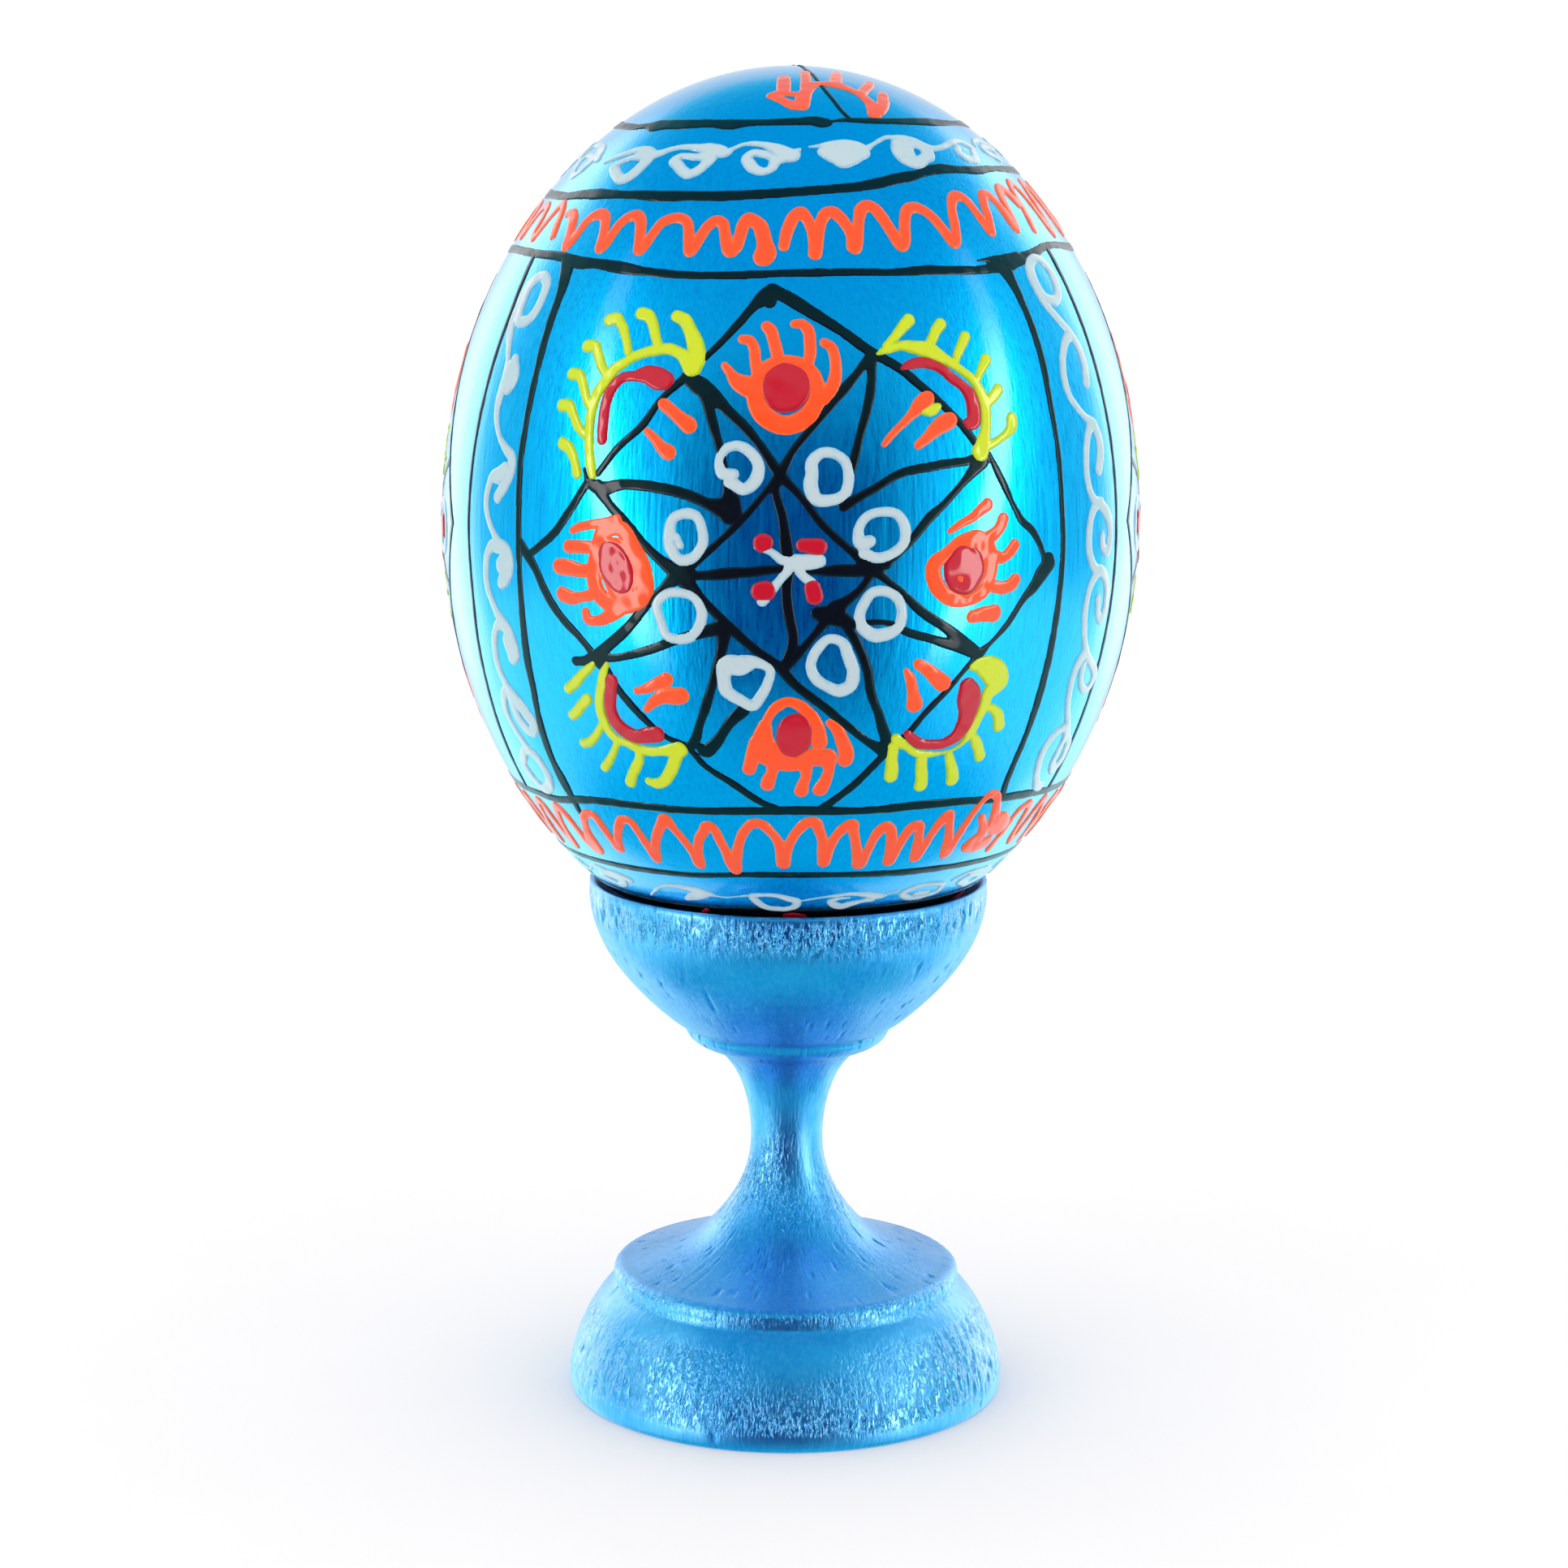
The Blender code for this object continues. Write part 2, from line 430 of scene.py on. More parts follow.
CAP_LINE = [
    (-60, 82.4, .3), (-52, 82.5, .35), (-49, 82.5, .55), (-45, 82.55, .5), (-36, 82.6, .48),
    (-27, 82.65, .4), (-20, 82.6, .5), (-14, 82.7, .35), (-6, 82.75, .33), (2, 82.8, .38),
    (6, 82.84, .44), (10, 82.75, .46), (12, 82.8, .2), (16, 82.88, .2), (24, 82.87, .27),
    (34, 82.85, .32), (44, 82.85, .36), (52, 82.83, .38), (60, 82.8, .3), (90, 82.7, .4),
    (130, 82.5, .45), (170, 82.6, .35), (210, 82.5, .45), (260, 82.6, .4), (300, 82.4, .3)]
UNDER_TOP_WAVE = [
    (-64, 78.2, .4), (-56, 78.35, .45), (-50, 78.4, .54), (-45, 78.4, .44), (-36, 78.4, .46),
    (-30, 78.35, .55), (-24, 78.4, .48), (-15, 78.42, .5), (-8, 78.53, .45), (0, 78.68, .45),
    (8, 78.85, .43), (15, 79.0, .45), (20, 79.2, .48), (26, 79.5, .5), (29, 79.6, .5), (32, 79.75, .38),
    (36, 79.95, .45), (40, 80.05, .48), (46, 80, .38), (52, 79.95, .42), (60, 80.03, .3),
    (75, 79.95, .4), (100, 79.75, .45), (140, 79.4, .4), (180, 79.0, .5), (220, 78.6, .42),
    (260, 78.35, .45), (296, 78.2, .4)]
OVER_PANELS = [
    (-75, 74.9, .4), (-60, 74.75, .42), (-50, 74.62, .5), (-46, 74.4, .6), (-40, 74.35, .5),
    (-35, 74.2, .58), (-29, 74.02, .45), (-20, 73.85, .38), (-10, 73.9, .38), (0, 74.05, .38),
    (12, 74.1, .38), (20, 74.1, .38), (26, 74.2, .46), (33, 74.15, .42), (40, 74.2, .45),
    (45, 74.4, .65), (50, 74.7, .6), (55, 74.95, .5), (60, 75.3, .4), (80, 75.2, .45), (110, 75.0, .4),
    (150, 74.7, .45), (190, 74.3, .4), (240, 74.6, .45), (285, 74.9, .4)]
UNDER_PANELS = [
    (-64, 41.35, .4), (-50, 41.4, .43), (-46, 41.6, .47), (-42, 41.75, .46), (-30, 41.85, .42),
    (-18, 41.85, .42), (-8, 42, .47), (2, 42.1, .47), (8, 42.05, .5), (14, 42, .42), (25, 42.15, .52),
    (36, 42.1, .47), (42, 41.95, .44), (50, 41.9, .5), (60, 41.7, .42), (90, 41.6, .45),
    (130, 41.9, .4), (180, 42.1, .48), (230, 41.8, .42), (270, 41.5, .45), (296, 41.35, .4)]
OVER_BOTTOM_WAVE = [
    (-60, 37.1, .3), (-50, 37.1, .33), (-30, 37.15, .34), (-22, 37.2, .33), (-16, 37.33, .33),
    (-10, 37.46, .33), (0, 37.52, .37), (10, 37.5, .33), (20, 37.42, .37), (30, 37.36, .4),
    (44, 37.32, .37), (60, 37.25, .35), (120, 37.2, .38), (180, 37.4, .33), (240, 37.2, .38),
    (300, 37.1, .3)]
RIM_LINE = [
    (-60, 34.4, .62), (-40, 34.3, .6), (-20, 34.35, .66), (-10, 34.45, .72), (0, 34.4, .62),
    (20, 34.42, .6), (60, 34.4, .65), (120, 34.4, .6), (180, 34.45, .66), (240, 34.4, .6),
    (300, 34.4, .62)]
DOUBLED_STRETCH = [(38, 74.7, .12), (42, 74.72, .35), (46, 74.7, .55), (50, 74.8, .6)]
BAND_LINES = [CAP_LINE, UNDER_TOP_WAVE, OVER_PANELS, UNDER_PANELS, OVER_BOTTOM_WAVE, RIM_LINE,
              DOUBLED_STRETCH]

PANEL_LINES = [
    [(-50, 74.55, .4), (-48.3, 74.2, .8), (-47.3, 73.4, .75), (-47, 72.4, .6), (-47.2, 71, .56),
     (-47.3, 69, .5), (-47.6, 65, .45), (-47.8, 63, .45), (-47.4, 59, .46), (-47.3, 56, .42),
     (-47.6, 52, .52), (-47.8, 50, .55), (-47.7, 49, .5), (-48.2, 47, .5), (-48.5, 45, .55),
     (-48.3, 44, .55), (-47.8, 43, .7), (-47.3, 42, .6), (-47, 40.6, .35)],
    [(44.2, 74.3, 1.0), (45.3, 73.2, .62), (46, 72, .5), (46.6, 70.8, .5), (47, 69, .47),
     (46.9, 66.5, .4), (47.2, 64, .38), (47.3, 60, .38), (47.5, 58, .4), (47.2, 55, .43),
     (46.8, 52, .5), (46.2, 48.5, .55), (45.5, 46, .45), (44.8, 44, .45), (44.8, 43, .45),
     (45.2, 42.2, .5)],
    [(-61.8, 74.6, .42), (-61.4, 73, .38), (-61.1, 71, .36), (-61.5, 69, .36), (-62.1, 65.5, .33),
     (-62.6, 62, .32), (-62.8, 58, .32), (-62.6, 54, .34), (-63.4, 51, .34), (-64.2, 48, .36),
     (-65.2, 45, .38), (-66, 41.4, .38)],
    [(62.6, 75.2, .42), (63.4, 72, .36), (64, 68, .34), (64.4, 63, .34), (64.4, 58, .34),
     (64.2, 53, .34), (63.8, 49, .36), (63.4, 45, .38), (63, 41.8, .38)]]

STAR_LINES = [
    # Outline of the star, from its top point to the right and round.
    [(-3.5, 73.1, .6), (0, 72.5, .65), (4, 71.7, .6), (8, 70.85, .5), (13, 69.6, .5), (17.5, 68.7, .45),
     (21.5, 67.5, .45), (25.5, 66.2, .4), (28.5, 65, .4), (30.8, 63.8, .4)],
    [(-3.6, 73.1, .6), (-4.8, 72.7, .75), (-6.5, 72.2, .5), (-9, 71.2, .4), (-11.5, 70.2, .35),
     (-14, 69.3, .3), (-17, 68.3, .35)],
    [(-4.2, 72.9, .6), (-3.9, 72.4, .6)],
    [(-17.5, 68, .4), (-21, 66.8, .35), (-24, 65.2, .4), (-28, 63.8, .35), (-31.2, 62.3, .35)],
    [(-33.8, 62.5, .2), (-33.2, 61.8, .3)],
    [(-33.3, 61.6, .4), (-37, 59.6, .45), (-39.5, 58.5, .45), (-42, 57.8, .42), (-44.5, 57.2, .4)],
    [(-47, 57.7, .6), (-45.3, 57.1, .6), (-43.5, 56.3, .5), (-42, 55.3, .5), (-40, 54.2, .5),
     (-37.5, 53.2, .45), (-35, 52.4, .4), (-33, 51.6, .45), (-31.8, 51.1, .6)],
    [(-36.5, 50.9, .45), (-34.5, 51, .45), (-32.5, 51.25, .5), (-31.7, 50.8, .4)],
    [(-30.8, 50.8, .45), (-28.5, 49.3, .4), (-27, 48.6, .42), (-25, 47.8, .4), (-21, 46.6, .3),
     (-17.6, 46.1, .32), (-15, 45, .35), (-10, 43.8, .4), (-5, 42.6, .4), (-2.5, 42.2, .45)],
    [(16.5, 45.7, .4), (14.3, 44.8, .4), (12.3, 44, .42), (8, 42.7, .42), (6.2, 42.2, .5)],
    [(16.8, 46, .4), (20.2, 47, .35), (22.5, 48.1, .35), (26.5, 49.7, .32), (29.5, 51, .32),
     (31, 51.5, .5)],
    [(44.2, 56.8, .85), (42.8, 56.3, .8), (41, 55.5, .65), (39.5, 55, .45), (36, 53.3, .35),
     (32.3, 52, .35), (31, 51.6, .6)],
    [(32.4, 63.5, .35), (34.5, 62, .4), (37, 60.2, .35), (38.3, 59.5, .4), (40.3, 58.9, .4),
     (42, 58, .4), (43.2, 57.2, .45), (44, 56.9, .9)],
    # Two long diagonals that cross below the top point.
    [(-17.3, 68.05, .5), (-15, 67.6, .85), (-12.5, 67, .7), (-10, 66.2, .5), (-7, 65.2, .45),
     (-4.5, 64.1, .4), (-1.3, 62.4, .48), (.8, 61.6, .4), (5, 59.6, .4), (9, 58.2, .4),
     (12.5, 57.1, .6), (14, 56.6, .4), (17.5, 55.5, .4), (20, 54.6, .45), (25.5, 53.2, .5),
     (27.5, 52.6, .6), (31, 51.7, .5)],
    [(13, 69.3, .5), (10.5, 68.3, .4), (8, 67.3, .45), (3.5, 65.4, .35), (0, 63.8, .35),
     (-1.7, 62.6, .48), (-3.5, 61.7, .35), (-7.5, 59.9, .35), (-12, 58.2, .35), (-15, 57.2, .45),
     (-17, 56.6, .8), (-19.5, 55.9, .35), (-22.5, 54.7, .45), (-26, 53.2, .5), (-32, 51.4, .6)],
    # The small points between the diagonals.
    [(-14.5, 67.4, .6), (-13.5, 66.7, .5), (-12.5, 65.6, .5), (-11, 64, .42), (-10.3, 62.8, .4),
     (-9.5, 61.5, .5), (-9.3, 60.6, .9)],
    [(-9.2, 61, .9), (-9.3, 60.4, 1.1)],
    [(13.2, 69.2, .5), (13, 68.2, .45), (12.6, 67.2, .45), (11.7, 66, .45), (10.8, 65, .4),
     (10, 63.9, .42), (8.6, 61.8, .35), (8.2, 61, .3)],
    [(31, 63.4, .6), (29, 63.25, .45), (23, 63, .45), (17, 62.6, .4), (12, 61.6, .4), (8, 60.75, .5)],
    [(31, 63.2, .8), (29.5, 62.7, .6), (27.5, 62, .4), (23.5, 60.6, .4), (21.5, 60, .45),
     (18.5, 58.7, .4), (15.5, 57.6, .3), (13, 57.1, .5)],
    [(9.5, 53.8, .4), (12, 53.9, .3), (15.5, 53.8, .3), (17.5, 53.4, .4), (23, 52.7, .45),
     (28.5, 52, .5), (31, 51.6, .5)],
    [(-31.5, 51.2, .4), (-28, 51.4, .4), (-24, 51.8, .42), (-17, 52.8, .5), (-12, 53.4, .6),
     (-10, 53.6, .7)],
    [(-32.5, 61.7, .5), (-31.5, 61.5, .6), (-26, 61.75, .5), (-21, 61.65, .5), (-16, 61.3, .5),
     (-12, 60.75, .6), (-9.3, 60.5, 1.1)],
    [(-31, 61.5, .7), (-29.5, 60.8, .5), (-26, 59.5, .5), (-20, 57.4, .5), (-17, 56.6, .8),
     (-13.5, 55.2, .45), (-9.5, 53.7, .5), (-5.5, 52.3, .45), (-1.3, 51.1, .5), (.5, 50.3, .45),
     (5.5, 48.8, .45), (10.5, 47.3, .4), (13, 46.6, .4), (16.5, 45.9, .7)],
    [(-10.2, 53.6, .8), (-10.3, 52.9, .6), (-11.5, 51, .45), (-13.3, 49, .45), (-15, 47.4, .45),
     (-15.7, 46.7, .5), (-16.8, 46.1, .45)],
    [(-7.5, 48.5, .6), (-9.5, 47.8, .5), (-13, 46.2, .6), (-14.3, 45.85, .65), (-15.5, 46.15, .4),
     (-17, 46.2, .4)],
    [(12.5, 57, .5), (11.3, 56.2, .4), (9.5, 55.5, .4), (7.8, 55, .6), (7, 54.7, .9)],
    [(4.2, 54.5, .6), (5.5, 54.4, .8), (7, 54.3, .9), (8, 54.1, .7), (9.5, 53.8, .5)],
    [(5.5, 54.1, .5), (4.2, 53.4, .4), (2.5, 52.6, .4), (1, 51.9, .45), (-.5, 51.3, .5)],
    [(8.5, 53.8, .5), (10, 52.9, .45), (12.3, 50.9, .45), (12.8, 49.9, .45), (14.8, 48.1, .45),
     (15.5, 47.4, .5), (16.4, 46.6, .6), (16.5, 46, .8)],
    # The cross in the middle.
    [(-16.5, 56.6, .5), (-14, 56.6, .45), (-10, 56.75, .55), (-6, 56.9, .5), (0, 57.1, .35),
     (3, 56.95, .3), (7, 57, .55), (12.5, 57.05, .5), (15, 57.3, .3)],
    [(-1.8, 62.4, .5), (-2.2, 62, .45), (-1.2, 60, .45), (-.5, 58, .6), (-.3, 57, .5), (-.6, 56, .5),
     (0, 54, .5), (.5, 53, .5), (-.7, 51.4, .5), (-1.2, 51.1, .5)]]

# ---------------------------------------------------------------------------------------
# White rings, cross and waves.

WHITE_RINGS = [
    [(-8.8, 62.55, .65), (-10.4, 62.6, .75), (-11, 63.2, .6), (-10.2, 63.95, .6), (-8.4, 64.2, .6),
     (-6.5, 63.9, .65), (-5, 63.1, .65), (-5.3, 62.3, .75), (-7.2, 61.7, .7), (-9.3, 62.1, .8)],
    [(3.2, 62.6, .75), (3.2, 63.3, .7), (4.5, 63.8, .6), (6.5, 63.8, .6), (8.3, 63.3, .65),
     (8.8, 62.3, .65), (8, 61.4, .65), (6, 61.1, .65), (3.8, 61.2, .75), (3, 61.9, .85),
     (3.2, 62.6, .75)],
    [(-18.6, 59, .7), (-18.3, 58.1, .75), (-17, 57.5, .65), (-15, 57.6, .65), (-13.5, 58.3, .65),
     (-13.4, 59.2, .6), (-14.5, 60.1, .6), (-16.3, 60.2, .6), (-18, 59.9, .6), (-18.6, 59, .7)],
    [(-17.5, 58.8, .5), (-16.8, 58.3, .4)],
    [(-20.8, 54.8, .6), (-20.3, 53.9, .6), (-19.2, 52.9, .6), (-17.5, 52.75, .6), (-15.2, 53, .65),
     (-13.8, 53.8, .65), (-13.7, 54.7, .65), (-14.9, 55.35, .6), (-17, 55.55, .55), (-19.3, 55.4, .55),
     (-20.8, 54.8, .6)],
    [(12, 58.7, .7), (10.7, 58.6, .8), (10.3, 59.4, .6), (11.4, 60.1, .55), (13.8, 60.4, .55),
     (16.2, 60.25, .6), (17.5, 59.5, .65), (17.4, 58.6, .65), (15.8, 58, .65), (13.2, 57.7, .65),
     (11, 58, .7)],
    [(10.6, 54.2, .65), (11.3, 55.1, .65), (12.6, 55.7, .6), (14.5, 55.75, .6), (16.5, 55.3, .65),
     (17.3, 54.5, .65), (16.8, 53.6, .7), (15, 53.2, .8), (12.8, 53.15, .8), (11.2, 53.6, .75),
     (10.6, 54.2, .65)],
    [(3.3, 51.3, .6), (4.2, 52.3, .6), (6, 52.95, .55), (7.8, 52.8, .6), (9.2, 51.8, .75),
     (10, 50.9, .75), (9.6, 50.1, .8), (8, 49.8, .8), (5.8, 50.1, .65), (4.2, 50.5, .65),
     (3.3, 51.3, .6)],
    [(-9.9, 51.3, 1.1), (-8, 51.3, 1.2), (-5.2, 51.5, .7), (-3.1, 51.1, .6), (-3.5, 50.2, .6),
     (-4.6, 49.4, .65), (-5.9, 48.85, .65), (-8, 49.2, .7), (-10, 49.7, .8), (-10.4, 50.5, .8),
     (-9.9, 51.3, 1.1)]]

WHITE_CROSS = [
    [(.5, 57.4, .8), (-1.5, 57.7, .6), (-3, 58.1, .5), (-5, 58.4, .5)],
    [(.8, 57.5, 1.0), (2.5, 57.5, 1.0), (4.3, 57.6, .85)],
    [(0, 57.3, .8), (-1, 56.7, .6), (-2.3, 56.1, .6), (-3.7, 55.5, .8), (-4.2, 55.2, .7)],
    [(1, 57.3, .8), (2, 56.7, .6), (3.2, 56.3, .6)]]

LEFT_WAVE = [
    [(-51.8, 72.3, .85), (-52.2, 73.1, .85), (-53.8, 73.45, .8), (-55.8, 73.4, .8), (-57.8, 72.9, 1.0),
     (-58.4, 71.9, 1.2), (-57.6, 71, 1.0), (-55.8, 70.75, .8), (-53.8, 70.9, .8), (-52.3, 71.5, .85),
     (-51.8, 72.3, .85)],
    [(-58.8, 71.3, 1.0), (-59, 70.6, .9), (-58.4, 69.9, .8), (-57.5, 69.2, .6), (-56.6, 68.5, .6),
     (-56, 67.6, .8), (-56.1, 66.8, .9), (-56.5, 65.6, .7), (-55.9, 64.8, .6), (-54.5, 64, .5),
     (-51.8, 63.2, .7), (-50.2, 62.8, .8), (-49.8, 62.2, .8), (-51.2, 61.2, .9), (-53.2, 60.3, .8)],
    [(-54.3, 68.5, .8), (-53.2, 67.5, 1.0), (-54.6, 67, 1.3), (-55.2, 68, 1.1)],
    [(-51.6, 62, 1.0), (-53.3, 61.6, 1.1), (-55, 61.5, .8), (-56.2, 60.7, .65), (-56.5, 59.7, .6),
     (-55.6, 58.8, .6), (-54, 58.1, .55), (-52.6, 57.5, .9), (-50.8, 57.1, 1.2), (-50.2, 56.3, 1.2),
     (-51.2, 55.5, 1.2), (-52.3, 55.1, .8)],
    [(-52, 56.2, 1.2), (-51.2, 56.4, 1.3)],
    [(-53, 57.3, .9), (-54.5, 57.3, .8), (-55.7, 56.9, .7), (-56.6, 56.2, .7), (-56.9, 55.3, .7),
     (-56.5, 54.5, .65), (-55.5, 53.8, .65), (-54.3, 53.1, .75), (-52.6, 52.5, 1.0), (-51, 51.5, 1.0),
     (-51, 50.8, 1.1), (-51.9, 50.5, 1.0)],
    [(-52.4, 51.5, 1.1), (-52, 51, 1.1)],
    [(-53.5, 52.6, .9), (-55.4, 52.2, .7), (-56.5, 51.5, .7), (-57.1, 50.6, .65), (-57.2, 49.9, .65),
     (-56.6, 49.1, .7), (-55.6, 48.4, .95), (-53.5, 47.7, 1.1), (-51.5, 46.9, 1.1), (-50.4, 46.3, 1.0),
     (-51.5, 45.8, .8), (-53.6, 46, .9), (-55, 46.8, .9), (-55.3, 47.6, .9)],
    [(-56, 48.4, .8), (-58, 47.7, .8), (-58.8, 47, .8), (-58.5, 46.3, .7), (-57.6, 45.6, .7),
     (-56.4, 45, .7), (-55.3, 44.5, .8)],
    [(-55.5, 44.4, .7), (-53.8, 44.2, .8), (-52.5, 43.6, .8), (-52, 43, .8), (-53, 42.3, .9),
     (-55, 41.9, .9), (-57.5, 42, .9), (-59.5, 42.7, .9), (-60, 43.3, .8), (-58.5, 43.9, .8),
     (-57, 44.3, .7), (-55.5, 44.4, .7)]]

RIGHT_WAVE = [
    [(51.5, 73.5, 1.0), (52.3, 74.3, .9), (54.5, 74.7, .7), (56.8, 74.65, .7), (58.5, 74.2, .8),
     (59, 73.3, .9), (57.8, 72.5, .8), (55.5, 72.2, .8), (53.3, 72.4, .8), (52, 72.9, .9),
     (51.5, 73.5, 1.0)],
    [(51.6, 72.8, .8), (52.6, 72, .7), (54.2, 71.4, .7), (56, 70.8, .7), (57.3, 70.2, .8),
     (55.5, 69.9, .7), (53.5, 69.2, .7), (52.2, 68.3, .7), (51.9, 67.4, .7), (52.4, 66.6, .6),
     (54, 65.9, .55), (56, 65.3, .6), (57.8, 64.9, .8)],
    [(57.5, 70.3, .7), (59, 69.5, .8), (59.5, 68.3, .9), (58.6, 67.3, .8)],
    [(58.5, 64.8, .8), (57, 64.6, .8), (55.6, 63.9, .7), (54.6, 62.8, .65), (54.4, 61.8, .65),
     (55, 60.9, .65), (56.2, 60.3, .7), (58, 60, .8), (60, 59.5, .9), (61.5, 58.7, .9),
     (61.6, 57.7, .8), (60.6, 57, .8), (59.2, 57.3, .7), (58.8, 58.1, .6)],
    [(58.2, 64.9, .7), (59.6, 64, .9), (59.5, 63, .9), (58.4, 62.1, .9)],
    [(58.5, 60.1, .7), (56.6, 59.9, .75), (55.2, 59.3, .7), (54.5, 58.3, .7), (54.5, 57.5, .7),
     (55.3, 56.7, .7), (57, 56, .8), (59, 55.8, .8), (61, 55.2, .8), (61.8, 54.3, .8), (61.7, 53.3, .8),
     (60.6, 52.8, .8), (59.3, 53.2, .7), (58.6, 54.2, .6)],
    [(57.5, 55.8, .8), (55.8, 55.1, .7), (55, 54.3, .65), (54.8, 53.4, .65), (55.3, 52.4, .65),
     (56.3, 51.5, .65), (57.5, 50.8, .8), (60, 50.1, .7), (62, 49.6, .8), (63.1, 49, .8),
     (62.4, 48.5, .7), (60.7, 48.3, .65), (58.8, 48.6, .65), (57.7, 49.2, .65), (57.4, 50, .7)],
    [(57.4, 50.9, .8), (55.8, 50.4, .8), (54.9, 49.7, .75), (54.7, 48.9, .7), (55.1, 48.1, .65),
     (56.3, 47.1, .6), (58.3, 46.1, .6), (60, 45.4, .7), (61.5, 44.8, .9), (61.7, 43.8, .9),
     (60, 43.2, .9), (58.5, 43.6, .8), (58.4, 44.4, .7), (58.9, 45.3, .7), (57.5, 46, .7),
     (55.8, 45.95, .7), (54, 45.6, .7), (52.7, 44.9, .75), (52.6, 44.2, .75), (53.2, 43.5, .75),
     (54.5, 42.8, .7), (56, 42.3, .8), (58, 42.1, .8)]]

TOP_WAVE = [
    [(-57, 80.3, .28), (-51, 80.8, .33), (-47, 81.02, .4), (-43.3, 80.98, .55), (-40, 80.75, .55),
     (-38, 80.85, .4), (-35, 81.1, .3), (-31, 81.25, .3), (-27, 81.2, .42), (-23, 81.13, .6),
     (-20, 81, .65), (-18.4, 80.9, .5), (-16.5, 81.15, .22), (-14, 81.4, .2), (-11, 81.46, .26),
     (-8, 81.4, .33), (-5, 81.22, .5), (-2.5, 80.95, .7), (-.6, 80.8, .7), (.9, 81.02, .3),
     (1.9, 81.18, .12)],
    [(-40.5, 80.6, .6), (-41.6, 79.9, .6), (-43.3, 79.4, .6), (-45, 79.28, .55), (-47.5, 79.5, .5),
     (-50, 79.8, .5), (-51.8, 80.02, .35), (-50, 80.3, .35), (-47.5, 80.55, .32), (-44.5, 80.62, .4),
     (-42, 80.65, .5)],
    [(-21.8, 80.6, .6), (-22.8, 80.15, .5), (-24.3, 79.78, .5), (-26, 79.65, .5), (-28, 79.85, .5),
     (-30, 80.15, .5), (-31.7, 80.45, .5), (-31, 80.68, .35), (-29, 80.7, .35), (-26, 80.65, .4),
     (-23.5, 80.7, .5)],
    [(-4.4, 80.5, .5), (-5.5, 80, .4), (-7.5, 79.85, .45), (-9.5, 80, .52), (-11, 80.3, .55),
     (-12, 80.6, .45), (-11, 80.88, .4), (-8.5, 80.88, .42), (-6, 80.72, .4), (-4.2, 80.55, .5),
     (-3, 80.6, .5)],
    [(4.4, 81.3, .12), (7, 81.35, .2), (9, 81.38, .35), (12, 81.45, .45), (15, 81.5, .45),
     (18, 81.35, .5), (20, 81.22, .35), (22, 81.4, .2), (25, 81.68, .2), (28, 81.88, .2),
     (31, 81.85, .3), (34, 81.78, .45), (37, 81.62, .5), (39.5, 81.35, .5), (42, 81.25, .35),
     (46, 81.32, .28), (50, 81.5, .3), (54, 81.65, .35), (58, 81.6, .4), (60.5, 81.3, .4)],
    [(9.3, 81, .8), (11.5, 80.85, 1.0), (14, 80.85, 1.15), (16.5, 81, .95), (18.4, 81, .7)],
    [(12.6, 80.5, .8), (14, 80.55, .7)],
    [(31, 81.5, .6), (29.3, 81, .55), (29.5, 80.65, .5), (31.5, 80.4, .6), (33.5, 80.38, .65),
     (36, 80.6, .5), (38.5, 80.85, .6), (39, 81.15, .6), (37, 81.5, .55), (34, 81.5, .5)],
    [(32.2, 80.9, .6), (32.5, 81.2, .6)],
    [(59, 81, .4), (57.5, 80.7, .45), (55, 80.55, .5), (52.5, 80.75, .5), (51.5, 81.05, .4),
     (53, 81.3, .35)]]

BOTTOM_WAVE = [
    [(-41, 35.1, .15), (-38, 35.5, .2), (-35, 35.9, .2), (-32, 36.12, .25), (-29, 36.15, .3),
     (-26, 36.08, .42), (-23, 35.95, .5), (-21, 35.8, .42), (-19.3, 35.68, .18), (-16, 35.62, .11),
     (-13, 35.75, .12), (-10.5, 35.86, .15)],
    [(-28.6, 35.2, .24), (-26.5, 35.4, .5), (-24.5, 35.6, .7), (-22.5, 35.7, .6)],
    [(-9.2, 35.8, .4), (-6, 35.95, .28), (-2.5, 35.9, .33), (0, 35.7, .4), (2.2, 35.45, .45),
     (2, 35.1, .4), (0, 34.88, .35), (-3, 34.85, .4), (-6, 34.95, .4), (-8.2, 35.35, .42),
     (-9.2, 35.8, .4)],
    [(3.3, 35.5, .14), (6, 35.65, .12), (9, 35.78, .13), (12, 35.88, .2), (15, 35.95, .24),
     (18, 35.92, .3), (21, 35.8, .45), (23.5, 35.65, .55), (25.4, 35.62, .35), (27, 35.8, .12),
     (29.5, 35.9, .14)],
    [(22.5, 35.45, .5), (20, 35.32, .3), (17, 35.15, .45), (14.5, 34.98, .45), (12.5, 35.15, .45),
     (11.3, 35.45, .35), (13, 35.62, .25), (16, 35.66, .15)],
    [(31.3, 35.65, .4), (33.5, 36, .35), (37, 36.13, .3), (41, 36.06, .35), (44.3, 35.8, .4),
     (44.5, 35.4, .4), (41, 35.17, .35), (37, 35.12, .38), (34, 35.25, .42), (31.3, 35.65, .4)],
    [(36, 35.48, .35), (40, 35.48, .35)]]

# ---------------------------------------------------------------------------------------
# Orange.

